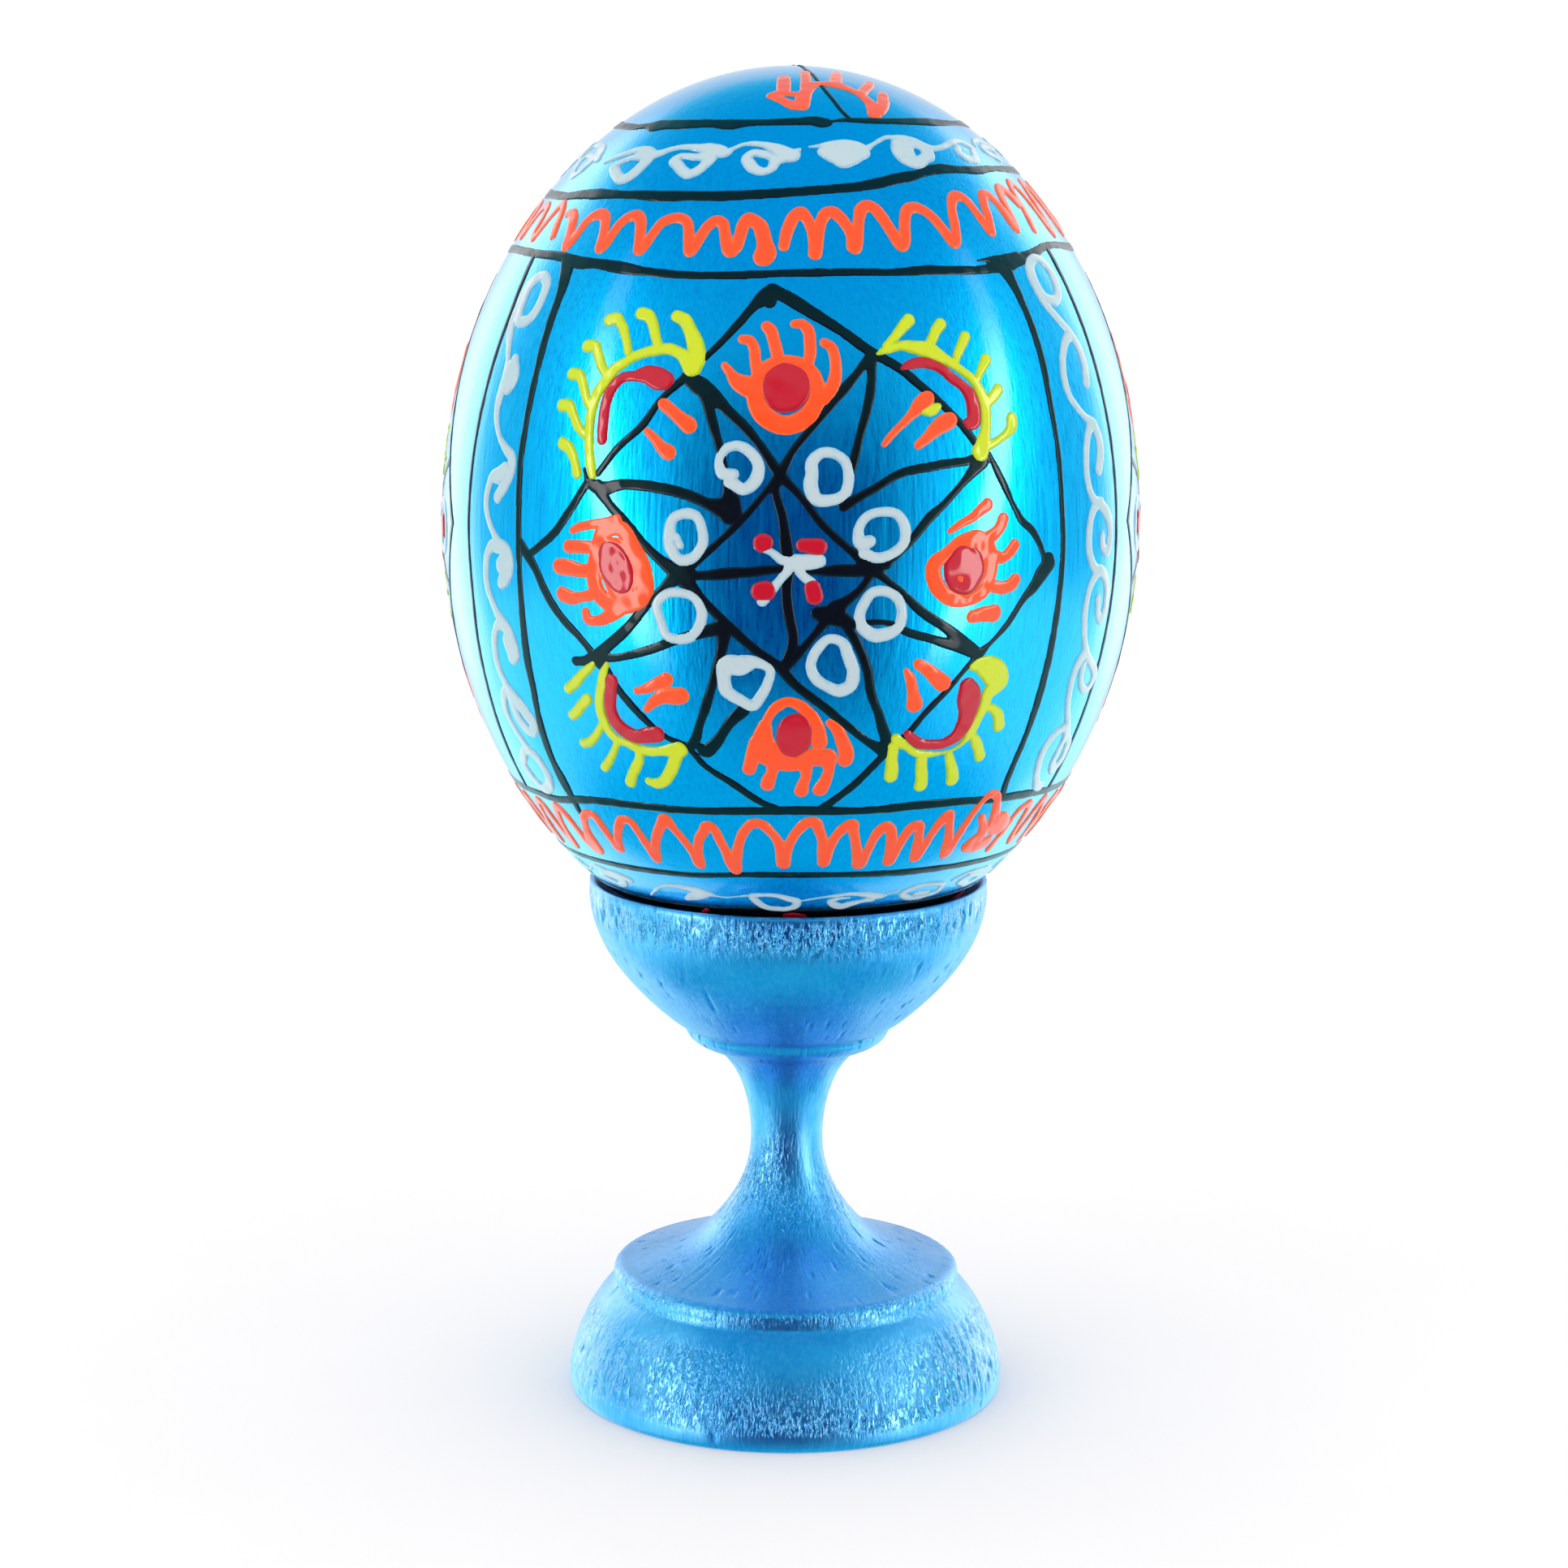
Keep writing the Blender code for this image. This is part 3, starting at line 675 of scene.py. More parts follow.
TOP_HAND = [
    [(-.85, 69.05, .75), (3.2, 68.4, .85), (4.1, 67.2, .95), (2.6, 65.95, 1.1), (-.85, 65.4, 1.1),
     (-4.4, 66, 1.15), (-5.8, 67.2, 1.0), (-4.9, 68.4, .85), (-.85, 69.05, .75)],
    [(-11, 68.75, .45), (-10, 68.35, .55), (-8.9, 67.9, .9), (-7.2, 67.6, 1.2), (-5.6, 67.4, 1.2)],
    [(-8.3, 70.25, .55), (-7.1, 70.2, .6), (-6.2, 69.7, .65), (-6, 69.1, .65), (-5.6, 68.4, .7)],
    [(-4.3, 71, .65), (-3.7, 70.8, .7), (-3, 70.2, .7), (-2.5, 69.6, .75), (-2.2, 69.2, .75)],
    [(.4, 71.15, .5), (1.7, 71.15, .6), (2.7, 70.8, .7), (3, 70.1, .7), (3, 69.4, .7), (2.6, 68.9, .7)],
    [(5.4, 70.1, .55), (6.4, 69.9, .6), (7.1, 69.2, .65), (7.1, 68.3, .75), (6.4, 67.5, .85),
     (5, 67, 1.0)]]
LEFT_HAND = [
    [(-29, 58, 1.3), (-28.5, 56.4, 1.3), (-26.6, 55.4, 1.3), (-25.4, 56.2, 1.3), (-26.6, 57.8, 1.3),
     (-27.6, 58, 1.2)],
    [(-30.8, 57.5, 1.1), (-29.5, 59, 1.0), (-27, 59.2, 1.0), (-24.3, 57.9, 1.1), (-22.8, 56.4, 1.2),
     (-23, 55.3, 1.2), (-25.5, 54.7, 1.1), (-28.5, 54.6, 1.1), (-31, 55.3, 1.1), (-31.5, 56.5, 1.1),
     (-30.8, 57.5, 1.1)],
    [(-35.6, 58.85, .5), (-34, 59.1, .55), (-31.5, 59.3, .55), (-29, 59.5, .6), (-27.3, 59.7, .7)],
    [(-36.4, 57.85, .8), (-34, 57.9, .8), (-32, 57.9, .8)],
    [(-38.3, 56.6, .95), (-36.5, 56.6, 1.0), (-34, 56.5, .85), (-32, 56.5, .9)],
    [(-37.8, 54.95, .95), (-36, 54.8, .85), (-34, 54.9, .65), (-32, 55.1, .75)],
    [(-33.4, 54, .6), (-33.2, 53.6, .65), (-32, 53.5, .6), (-30, 53.7, .75), (-27.5, 54.3, 1.0)]]
RIGHT_HAND = [
    [(26.4, 56.6, 1.3), (28, 56.2, 1.3), (30, 56.8, 1.3), (29.5, 58, 1.3), (27.6, 58, 1.2),
     (28, 57, 1.3)],
    [(22.2, 57.1, 1.0), (22.8, 56, 1.0), (25, 55.2, .9), (28, 55, .75), (31, 55.5, .9),
     (32.2, 56.6, .9), (32, 57.8, 1.0), (30, 58.7, .9), (27.5, 58.6, .8), (24.5, 57.9, .8),
     (22.2, 57.1, 1.0)],
    [(24.9, 59.15, .35), (26.5, 59.5, .5), (28.8, 59.9, .6), (30.3, 60.3, .7), (31.6, 60.6, .8)],
    [(31.5, 58.6, .9), (33, 58.9, .8), (34, 59.3, .8), (34.5, 59.7, .8)],
    [(33, 57.5, .8), (34.3, 57.4, .7), (35.8, 57.7, .75), (36.7, 58.1, .8)],
    [(33, 55.7, .8), (35, 55.6, .8), (36.5, 55.8, .85), (37, 56, .8)],
    [(29.3, 54, .8), (31, 54.1, .9), (33.3, 54.1, 1.05)]]
BOTTOM_HAND = [
    [(-4, 47.6, .6), (-3.2, 48.3, .6), (-2, 48.8, .65), (-.5, 49.1, .6), (1, 49, .65), (2.8, 48.5, .8),
     (4.3, 47.6, .9), (5, 46.6, 1.0)],
    [(-4, 47.6, .8), (-4.4, 46.8, 1.2), (-4, 46, 1.6), (-2, 45.6, 1.6), (1, 45.2, 1.0), (4, 45.6, 1.2),
     (6, 45.6, 1.2)],
    [(-5, 46.5, 1.2), (-6, 45.8, .9), (-6.6, 45.1, .85), (-6.9, 44.8, .85)],
    [(-2.6, 45.2, .9), (-3, 44.6, .7), (-3.6, 44.1, .85), (-3.8, 43.8, .85)],
    [(2.9, 45, .8), (3, 44.4, .65), (2.4, 43.8, .75), (2.2, 43.4, .85)],
    [(6.4, 45.6, 1.2), (6.9, 44.9, .7), (6.5, 44.2, .75), (5.6, 43.5, .9)],
    [(6.6, 47.8, .5), (7.8, 47.4, .7), (8.9, 46.6, .85), (9.7, 45.7, .9), (9.6, 45.4, .9)]]
ORANGE_DASHES = [
    [(-20.8, 66.5, .7), (-18.5, 65.9, .75), (-16.2, 65.3, .95)],
    [(-23, 64.85, .5), (-21.5, 64.4, .6), (-20.2, 63.9, .75), (-19.2, 63.7, .9)],
    [(14.5, 64.3, .35), (15.7, 64.8, .4), (17.5, 65.4, .45), (19.3, 66, .6), (20.8, 66.5, .9),
     (22.2, 66.9, .9)],
    [(20, 64.2, .5), (21.5, 64.6, .65), (23.5, 65.2, .85), (25.2, 65.5, 1.0), (25.8, 65.6, .95)],
    [(-25.3, 49.4, .45), (-23.5, 49.6, .6), (-21.5, 50, .7), (-19.9, 50.25, .85)],
    [(-24, 48.3, .45), (-22.5, 48.8, .65), (-20.5, 49.2, .9), (-18.5, 49.25, 1.05), (-17.6, 49.3, 1.0)],
    [(20.5, 51.3, .65), (22.2, 50.9, .75), (23.8, 50.4, .9), (25.2, 50, 1.0)],
    [(18.6, 50.9, .35), (19.3, 50.5, .6), (19.9, 49.8, .65), (20.4, 49.1, .85), (20.6, 48.8, 1.0)]]

UPPER_ZIGZAG = [
    [(-57, 77.2, .55), (-55.5, 77.2, .68), (-54, 76.95, .7), (-52.7, 76.4, .68), (-51.9, 75.8, .68),
     (-51.2, 75.3, .7), (-50.3, 75.6, .66), (-49.4, 76.2, .64), (-48.5, 76.8, .64), (-47, 77.15, .7),
     (-45, 77.22, .72), (-43.3, 77, .68), (-42.2, 76.5, .64), (-41.5, 75.9, .64), (-40.8, 75.25, .66),
     (-40, 75.5, .64), (-39.2, 76.1, .62), (-38.3, 76.7, .64), (-36.8, 77.1, .7), (-35, 77.2, .72),
     (-33.5, 76.95, .68), (-32.5, 76.4, .66), (-31.8, 75.8, .66), (-31, 75.25, .7), (-30.2, 75.55, .66),
     (-29.2, 76.2, .62), (-28, 76.8, .6), (-26.2, 77.05, .62), (-23.8, 77.1, .62), (-22.2, 76.85, .6),
     (-21.3, 76.3, .6), (-20.7, 75.7, .62), (-20, 75.2, .66), (-19.3, 75.5, .62), (-18.5, 76.1, .6),
     (-17.4, 76.7, .62), (-15.9, 77, .64), (-14.5, 76.85, .6), (-13.6, 76.3, .6), (-12.9, 75.7, .64),
     (-12, 75.25, .72), (-11, 75.5, .64), (-10.5, 76.1, .66), (-10, 76.8, .72), (-9.2, 77.1, .78),
     (-8, 77, .78), (-6.8, 76.75, .78), (-5.9, 76.2, .78), (-5.3, 75.6, .85), (-5.2, 75.1, 1.1),
     (-5.5, 74.95, 1.05)],
    [(-1.7, 75.55, .56), (-1.4, 76.1, .6), (-.6, 76.8, .66), (.4, 77.3, .7), (1.6, 77.5, .74),
     (2.9, 77.15, .64), (3.8, 76.6, .62), (4.2, 75.9, .6), (4.35, 75.15, .7), (4.9, 75.8, .6),
     (5.3, 76.5, .6), (6, 77.1, .62), (7.2, 77.5, .68), (8.3, 77.55, .7), (9.7, 77.3, .68),
     (11, 76.8, .64), (11.8, 76.2, .62), (12.1, 75.5, .72), (12.9, 75.9, .6), (13.3, 76.5, .6),
     (13.9, 77.2, .64), (14.8, 77.7, .7), (16.2, 77.9, .74), (17.6, 77.75, .72), (18.8, 77.3, .68),
     (19.8, 76.7, .68), (20.8, 76.1, .7), (21.8, 75.6, .7), (22.7, 75.9, .64), (23.3, 76.5, .62),
     (24.1, 77.2, .62), (25.5, 77.7, .68), (27.3, 77.8, .72), (29, 77.65, .68), (30.8, 77.2, .66),
     (32.1, 76.6, .66), (33, 76.1, .68), (33.8, 75.75, .72), (34.8, 76.1, .64), (35.6, 76.7, .58),
     (36.3, 77.4, .58), (37.4, 78, .6), (39, 78.4, .66), (40.6, 78.45, .68), (42.2, 78.2, .62),
     (43.2, 77.6, .6), (44.1, 76.9, .62), (44.9, 76.35, .66), (45.7, 76.8, .62), (46.6, 77.4, .62),
     (47.6, 78.1, .64), (49, 78.5, .68), (50.6, 78.5, .66), (51.9, 78.1, .6), (52.8, 77.4, .62),
     (53.3, 76.8, .62), (53.8, 76.5, .66), (54.6, 76.9, .6), (55, 77.6, .58), (55.6, 78.3, .62),
     (56.8, 78.8, .68), (58.3, 78.85, .68), (59.8, 78.5, .62), (61, 77.9, .6)]]

LOWER_ZIGZAG = [
    [(-49, 38.2, 1.2), (-48, 39.5, .7), (-46.5, 40.4, .6), (-44.5, 40.75, .6), (-43, 40.7, .6),
     (-42, 40, .6), (-41.2, 39.1, .6), (-40.5, 38.5, .7), (-39, 39.3, .6), (-37, 40.2, .6),
     (-35, 40.75, .6), (-33.5, 40.7, .6), (-32.3, 39.9, .55), (-31.4, 38.9, .65), (-30.7, 38.1, .6),
     (-29.8, 38.9, .6), (-28, 39.9, .6), (-26, 40.7, .65), (-24.8, 41.1, .8), (-23.5, 40.5, .55),
     (-22, 39.7, .55), (-20.8, 38.9, .6), (-20.1, 38, .65), (-19.5, 39, .6), (-18.5, 39.9, .6),
     (-17, 40.5, .65), (-16, 40.85, .75), (-15, 40.7, .6), (-14.2, 40, .6), (-13.3, 39.2, .6),
     (-12.5, 38.3, .75), (-11.9, 37.7, .6), (-11.2, 38.7, .65), (-10.2, 39.7, .6), (-8.8, 40.6, .6),
     (-7, 41.15, .65), (-5.5, 41.15, .65), (-3.8, 40.7, .6), (-2.2, 40, .6), (-1.4, 39.2, .7),
     (-1.1, 38.3, .75), (-.5, 39.3, .65), (.6, 40.1, .6), (2, 40.8, .65), (3.5, 41.25, .7),
     (5, 41.3, .7), (6, 40.7, .6), (6.9, 39.9, .6), (7.3, 39, .7), (7.6, 38.4, .7), (8.3, 39.4, .65),
     (9.5, 40.3, .6), (11, 40.9, .7), (12.2, 41.1, .75), (13, 40.5, .6), (14, 39.6, .6), (15, 38.8, .7),
     (15.7, 38.2, .8), (16.7, 39, .6), (17.3, 39.9, .6), (18.3, 40.6, .7), (19.3, 40.85, .7),
     (20.5, 40.6, .65), (21.5, 39.8, .65), (22.2, 39, .75), (22.6, 38.3, .75), (23.3, 39.2, .65),
     (24.2, 40.1, .65), (25.3, 40.7, .7), (26.4, 40.8, .65), (27.4, 40.1, .6), (28.2, 39.2, .7),
     (29, 38.4, .75), (29.9, 39.2, .6), (30.6, 40.1, .6), (31.6, 40.9, .7), (32.7, 41.3, .7),
     (33.8, 40.7, .6), (35, 39.9, .6), (36, 39.1, .75), (37, 38.4, .75), (37.7, 39.4, .6),
     (38.2, 40.3, .6), (39.2, 41.3, .5), (40.5, 42.1, .55), (42, 42.35, .6), (43.7, 42.1, .65),
     (45.2, 41.3, .7), (46.5, 40.5, .9), (48.5, 40.1, 1.6), (50, 39.9, 1.5)],
    [(42, 40.8, .5), (43.7, 40.2, .6), (45, 39.5, .9), (43, 38.9, .9), (42.5, 38.8, .8),
     (46, 38.6, 1.0), (48.5, 38.8, 1.0)]]

# ---------------------------------------------------------------------------------------
# Lime combs.

LIME_COMBS = [
    # Upper left.
    [(-16.6, 68.8, 1.1), (-18.4, 69.3, .7), (-20.5, 69.6, .65), (-23.5, 69.5, .65), (-26.5, 69.2, .6),
     (-28.5, 68.8, .6), (-30.5, 68.3, .7), (-31.6, 67.7, .7), (-33, 66.9, .75), (-33.6, 65.8, .65),
     (-33.5, 64.5, .65), (-33, 63.2, .65), (-32.2, 62.2, .6)],
    [(-38.7, 63.9, .75), (-37.4, 63.7, .7), (-36, 63, .65), (-35.2, 62.2, .65)],
    [(-39.8, 66.1, .75), (-38.3, 66.1, .7), (-37.2, 65.6, .65), (-35.8, 64.9, .6), (-34.5, 64.5, .55)],
    [(-38.8, 67.95, .75), (-37.3, 67.9, .7), (-36, 67.3, .65), (-34.8, 66.5, .6), (-34, 66.1, .55)],
    [(-36.8, 69.6, .75), (-35.2, 69.6, .7), (-34.1, 69.1, .65), (-32.8, 68.4, .6), (-31.8, 68, .55)],
    [(-33.3, 71.15, .75), (-31.8, 71.25, .7), (-30.6, 70.9, .65), (-29.3, 70.2, .6),
     (-28.3, 69.4, .55)],
    [(-27.2, 71.6, .75), (-25.8, 71.5, .7), (-24.5, 71, .65), (-23.5, 70.2, .6), (-22.5, 69.6, .55)],
    [(-20.3, 71.5, .7), (-19, 71.35, .75), (-17.3, 70.6, .8), (-16.1, 69.7, 1.0), (-15.9, 69.1, 1.1),
     (-16.4, 68.6, 1.1)],
    # Upper right.
    [(14.3, 69.45, .3), (16, 69.7, .5), (18.5, 69.9, .55), (21, 69.8, .8), (23.5, 69.6, .95),
     (25.5, 69.2, .75), (27.5, 68.8, .6), (29, 68.4, .55), (30.8, 67.9, .6), (32, 67.2, .7),
     (32.6, 66.4, .75), (32.4, 65.5, .7), (32, 64.8, .75), (31.2, 64.1, 1.0), (30.8, 63.7, 1.1)],
    [(20.5, 71.35, .75), (19, 70.9, .65), (17.5, 70.4, .55), (16, 69.9, .5)],
    [(26.4, 71.1, .7), (25.2, 70.7, .65), (24.2, 70.2, .6), (23.3, 69.8, .6)],
    [(30.8, 70.35, .65), (29.8, 69.9, .6), (28.6, 69.3, .55), (27.8, 68.8, .5)],
    [(34.2, 69, .7), (33.2, 68.6, .6), (32, 68, .5), (31.3, 67.6, .5)],
    [(35.6, 67.25, .7), (34.6, 66.9, .7), (33.4, 66.6, .65), (32.6, 66.3, .6)],
    [(37.6, 65.5, .8), (37.4, 65.1, .75), (36.3, 64.7, .6), (34.8, 64.4, .5), (33, 64.1, .5),
     (31.8, 63.9, .5)],
    [(21.3, 66.1, .4), (22.6, 66.2, .7), (24, 66.4, .4)],
    # Lower left.
    [(-30.3, 50.9, .4), (-31, 50.4, .6), (-31.8, 49.6, .65), (-32.6, 48.8, .65), (-33, 48, .65),
     (-32.6, 47.2, .65), (-31.9, 46.6, .6), (-30.8, 46.2, .6), (-29, 46, .5), (-27, 45.75, .6),
     (-24.5, 45.6, .65), (-22, 45.7, .65), (-20, 45.8, .9), (-18.9, 45.9, 1.0)],
    [(-39, 49.1, .65), (-37, 49.6, .65), (-35.2, 50.2, .6), (-33.4, 50.7, .5), (-32.9, 50.9, .35)],
    [(-39.4, 47.4, .6), (-38, 47.7, .65), (-36.6, 48.2, .65), (-35.2, 48.6, .7)],
    [(-38.3, 45.65, .6), (-36.8, 45.8, .6), (-35.3, 46.2, .55), (-34, 46.7, .5), (-33, 47.2, .4)],
    [(-35, 44.2, .6), (-33.8, 44.6, .6), (-32.5, 45.1, .5), (-31.3, 45.7, .45), (-30.5, 46.2, .4)],
    [(-30.1, 43.4, .7), (-29.3, 43.9, .65), (-28, 44.5, .65), (-27, 45, .6), (-26.5, 45.6, .5)],
    [(-26, 43.6, .55), (-24.3, 43.5, .7), (-22.7, 43.8, .75), (-21.3, 44.4, .75), (-20.2, 45.1, .75),
     (-19.4, 45.7, .8)],
    # Lower right.
    [(30.2, 50.9, .5), (31.5, 51, .9), (33, 50.8, 1.3), (34.8, 50.4, 1.6), (36, 49.9, 1.3),
     (34.3, 49.2, .9), (33.7, 48.2, .7), (32.9, 47.5, .65), (32.3, 46.9, .7), (31.6, 46.4, .5),
     (29.5, 45.75, .3), (27, 45.55, .3), (24.5, 45.55, .45), (22, 45.7, .5), (20.3, 46.1, .5),
     (18.7, 46.5, .7), (18, 46.7, .6)],
    [(17.8, 46.2, .7), (17.9, 45.3, .7), (18.2, 44.6, .8), (18.3, 44.2, .8)],
    [(23.4, 45.4, .7), (23.8, 44.6, .75), (24.3, 43.9, .8), (24.4, 43.5, .85)],
    [(28.7, 45.4, .6), (29.7, 44.7, .7), (30.6, 44, .8), (30.8, 43.7, .85)],
    [(32.8, 46.5, .5), (33.9, 46, .7), (35, 45.4, .7), (35.5, 45.1, .75)],
    [(34, 48.3, .6), (35.8, 48.1, .6), (37.3, 47.6, .75), (38, 47, .85)]]

# ---------------------------------------------------------------------------------------
# Red.

RED_CRESCENTS = [
    [(-31, 64.3, .65), (-31.1, 65.5, .65), (-30.9, 66.7, .65), (-29.8, 67.5, .6), (-28.5, 67.9, .6),
     (-26.5, 68, .6), (-24, 68.1, 1.0), (-22, 67.9, 1.2), (-20.8, 67.8, 1.0)],
    [(18.2, 68.6, .25), (20, 68.85, .55), (22.5, 68.9, .6), (25, 68.6, .6), (27, 68, .6),
     (28.8, 67.5, .6), (30, 66.9, .8), (30.3, 66.1, .85), (29.8, 65.4, .8), (28.9, 65.35, .6)],
    [(-29.8, 49.9, .8), (-30.4, 49, .8), (-30.8, 48.1, .8), (-30.2, 47.3, .85), (-28.5, 46.75, .9),
     (-26.3, 46.5, .85), (-24.3, 46.65, .95), (-22.8, 46.75, 1.0)],
    [(29.8, 49.7, 1.0), (30.5, 49, 1.5), (30.7, 48.2, 1.2), (30.4, 47.3, 1.05), (29.3, 46.6, .8),
     (27.3, 46.2, .65), (24.5, 46.15, .65), (22.3, 46.3, .65), (20.7, 46.7, .6), (20, 46.95, .5)]]
RED_BERRIES = (filled(-.9, 67.55, 1.46, 1.46) + filled(-27.5, 56.85, 1.2, 1.62, -.3)
               + filled(27.5, 56.85, 1.4, 1.52) + filled(.8, 47, 1.12, 1.42, .1))
RED_DOTS = [
    [(-4.2, 58.6, 1.15), (-4.0, 58.62, 1.12)],
    [(1.8, 58.5, .85), (4.2, 58.4, 1.05)],
    [(-4.5, 55.75, 1.2), (-3.7, 55.8, 1.25)],
    [(3.3, 56, 1.0), (3.7, 55.5, 1.05)]]
RED_RIM_MARKS = [
    [(-26.5, 34.1, .3), (-25, 34.35, .3), (-24, 34.5, .25)],
    [(-.5, 34.35, .42), (2, 34.35, .48), (4.5, 34.3, .33)]]

# ---------------------------------------------------------------------------------------
# The top, seen from above.

CAP_COMB = [
    [(-1.3, -8, .8), (-.6, -8.7, .75), (.1, -9.2, 1.0), (.5, -9.3, .9)],
    [(-1.0, -7.8, .75), (-.1, -7.9, .6), (.5, -8.0, .8)],
    [(-.6, -7.7, .9), (-.6, -6.5, .9), (-.6, -5.4, .85)],
    [(.5, -9.2, .95), (.6, -8.2, 1.0), (.75, -7.5, .9), (1.1, -6.6, .9), (1.8, -6.15, .7),
     (2.6, -6.05, 1.0), (3.3, -6.25, .75), (4, -6.7, .7), (4.6, -7.4, .8), (4.95, -8.2, 1.1),
     (4.9, -8.75, .95)],
    [(.75, -7.3, .75), (.75, -6, .7), (.75, -5, .7), (.7, -4.2, .65)],
    [(2.55, -5.9, .9), (2.6, -4.8, .8), (2.65, -3.7, .75), (2.7, -3.1, .6)],
    [(4.1, -6.6, .8), (4.4, -5.6, .75), (4.6, -4.8, .75), (4.7, -4.1, .65)],
    [(5.1, -8.3, 1.0), (5.45, -7.3, .85), (5.5, -6.3, .85), (5.5, -5.5, .7)]]
CAP_SPOKE = [
    (3.45, -9.9, .45), (2.9, -9.2, .4), (2.4, -8.2, .38), (1.85, -6.9, .36), (1.2, -4.6, .36),
    (.45, -1.6, .36), (.01, -.03, .36)]


def spun(strokes, degrees):
    """Strokes seen from above, turned about the egg's axis."""
    c, s = math.cos(math.radians(degrees)), math.sin(math.radians(degrees))
    return [[(c * x - s * y, s * x + c * y, width) for x, y, width in stroke] for stroke in strokes]


# ---------------------------------------------------------------------------------------
# Parts of the pattern that the front doesn't show: the bands go on round the egg, the two
# narrow side panels have motifs of the same kinds, and the back repeats the front.

def line_height(line):
    """The height of a black band line at any turn."""
    points = np.array(line)
    return lambda turn: float(np.interp((turn + 60.0) % 360.0 - 60.0, points[:, 0], points[:, 1]))


def zigzag(first, last, waves, low, high, width, seed):
    """A looping zigzag of paint between two band lines."""
    one_wave = ((.0, .2), (.12, .45), (.25, .72), (.42, .84), (.6, .8), (.76, .55), (.88, .3))
    random = np.random.default_rng(seed)
    line = []
    for wave in range(waves):
        start = first + (last - first) * wave / waves
        step = (last - first) / waves
        for share, level in one_wave:
            at = start + step * (share + random.uniform(-.02, .02))
            bottom, top = low(at), high(at)
            line.append((at, bottom + (top - bottom) * (level + random.uniform(-.04, .04)),
                         width * random.uniform(.92, 1.12)))
    return [line]


def loop_wave(first, last, loops, low, high, seed):
    """A running wave of white loops between two band lines, each curl with its own eye."""
    random = np.random.default_rng(seed)
    strokes, tail = [], []
    for number in range(loops):
        step = (last - first) / loops
        start = first + step * number
        bottom, top = low(start + step / 2), high(start + step / 2)

        def at(share, level):
            return (start + step * (share + random.uniform(-.015, .015)),
                    bottom + (top - bottom) * (level + random.uniform(-.02, .02)))

        tail += tapered([at(.0, .6), at(.12, .72), at(.3, .78), at(.5, .74), at(.7, .66), at(.86, .56)],
                        [.18, .22, .3, .42, .6, .45])
        curl = [at(.72, .56), at(.62, .36), at(.5, .28), at(.36, .36), at(.22, .52), at(.3, .6),
                at(.46, .6), at(.64, .56)]
        strokes.append(tapered(curl, [.5, .48, .5, .5, .48, .38, .38, .5]))
    return strokes + [tail]


def comb(turn, height, radius, start, end, fingers, width):
    """An arc with fingers on its outside. Sizes in mm; 0 degrees is to the right, 90 up."""

    def at(angle, reach):
        return (turn + reach * math.cos(math.radians(angle)) / mm_per_degree(height),
                height + reach * math.sin(math.radians(angle)))

    arc = [(*at(start + (end - start) * step / 8, radius), width) for step in range(9)]
    strokes = [arc]
    for finger in range(fingers):
        angle = start + (end - start) * (finger + .5) / fingers
        bend = 9.0 if end > start else -9.0
        strokes.append([(*at(angle, radius), width * .8),
                        (*at(angle + bend * .4, radius + .9), width * .9),
                        (*at(angle + bend, radius + 1.8), width * 1.1)])
    return strokes


SIDE_LINES = [
    [(0, 73.4, .55), (-4.4, 70.4, .42), (-9.6, 66.2, .38), (-15, 61.8, .4), (-19.5, 58.4, .6)],
    [(0, 73.3, .5), (4.2, 70.2, .42), (10, 65.8, .38), (15.5, 61.3, .4), (19.5, 58.2, .6)],
    [(-19.5, 58.4, .5), (-14, 54.2, .4), (-8, 48.9, .4), (0, 42.2, .5)],
    [(19.5, 58.2, .5), (14, 53.8, .4), (7.6, 48.5, .4), (0, 42.2, .5)],
    [(-14.6, 62.1, .5), (-7, 60.2, .4), (0, 57.7, .5), (7, 55.6, .4), (14, 54, .5)],
    [(14.8, 61.8, .5), (7, 59.9, .4), (0, 57.5, .5), (-7, 55.7, .4), (-14, 54.3, .5)]]


def ring(turn, height, radius, width):
    """A closed ring of paint. Its radius is in mm."""
    across = radius / mm_per_degree(height)
    angles = [math.radians(step * 30.0) for step in range(13)]
    return [(turn + across * math.cos(angle), height + radius * math.sin(angle), width)
            for angle in angles]


def squeezed(strokes, lift):
    """A front motif made narrow enough for a side panel."""
    return [[(turn * .66, height + lift, width * .92) for turn, height, width in stroke]
            for stroke in strokes]


SIDE_RINGS = [ring(-10.6, 57.9, 1.55, .6), ring(10.6, 57.7, 1.55, .6)]
UPPER_DROP, LOWER_LIFT = -1.2, 1.4
SIDE_BERRIES = (filled(-10.6, 57.9, .85, .85) + filled(10.6, 57.7, .85, .85)
                + squeezed(filled(-.9, 67.55, 1.5, 1.2), UPPER_DROP)
                + squeezed(filled(.8, 47, 1.2, 1.2), LOWER_LIFT))
SIDE_HANDS = squeezed(TOP_HAND, UPPER_DROP) + squeezed(BOTTOM_HAND, LOWER_LIFT)
SIDE_COMBS = comb(0, 60.4, 1.7, 170, 10, 4, .5) + comb(0, 54.6, 1.7, 190, 350, 4, .5)

# ---------------------------------------------------------------------------------------
# Materials.

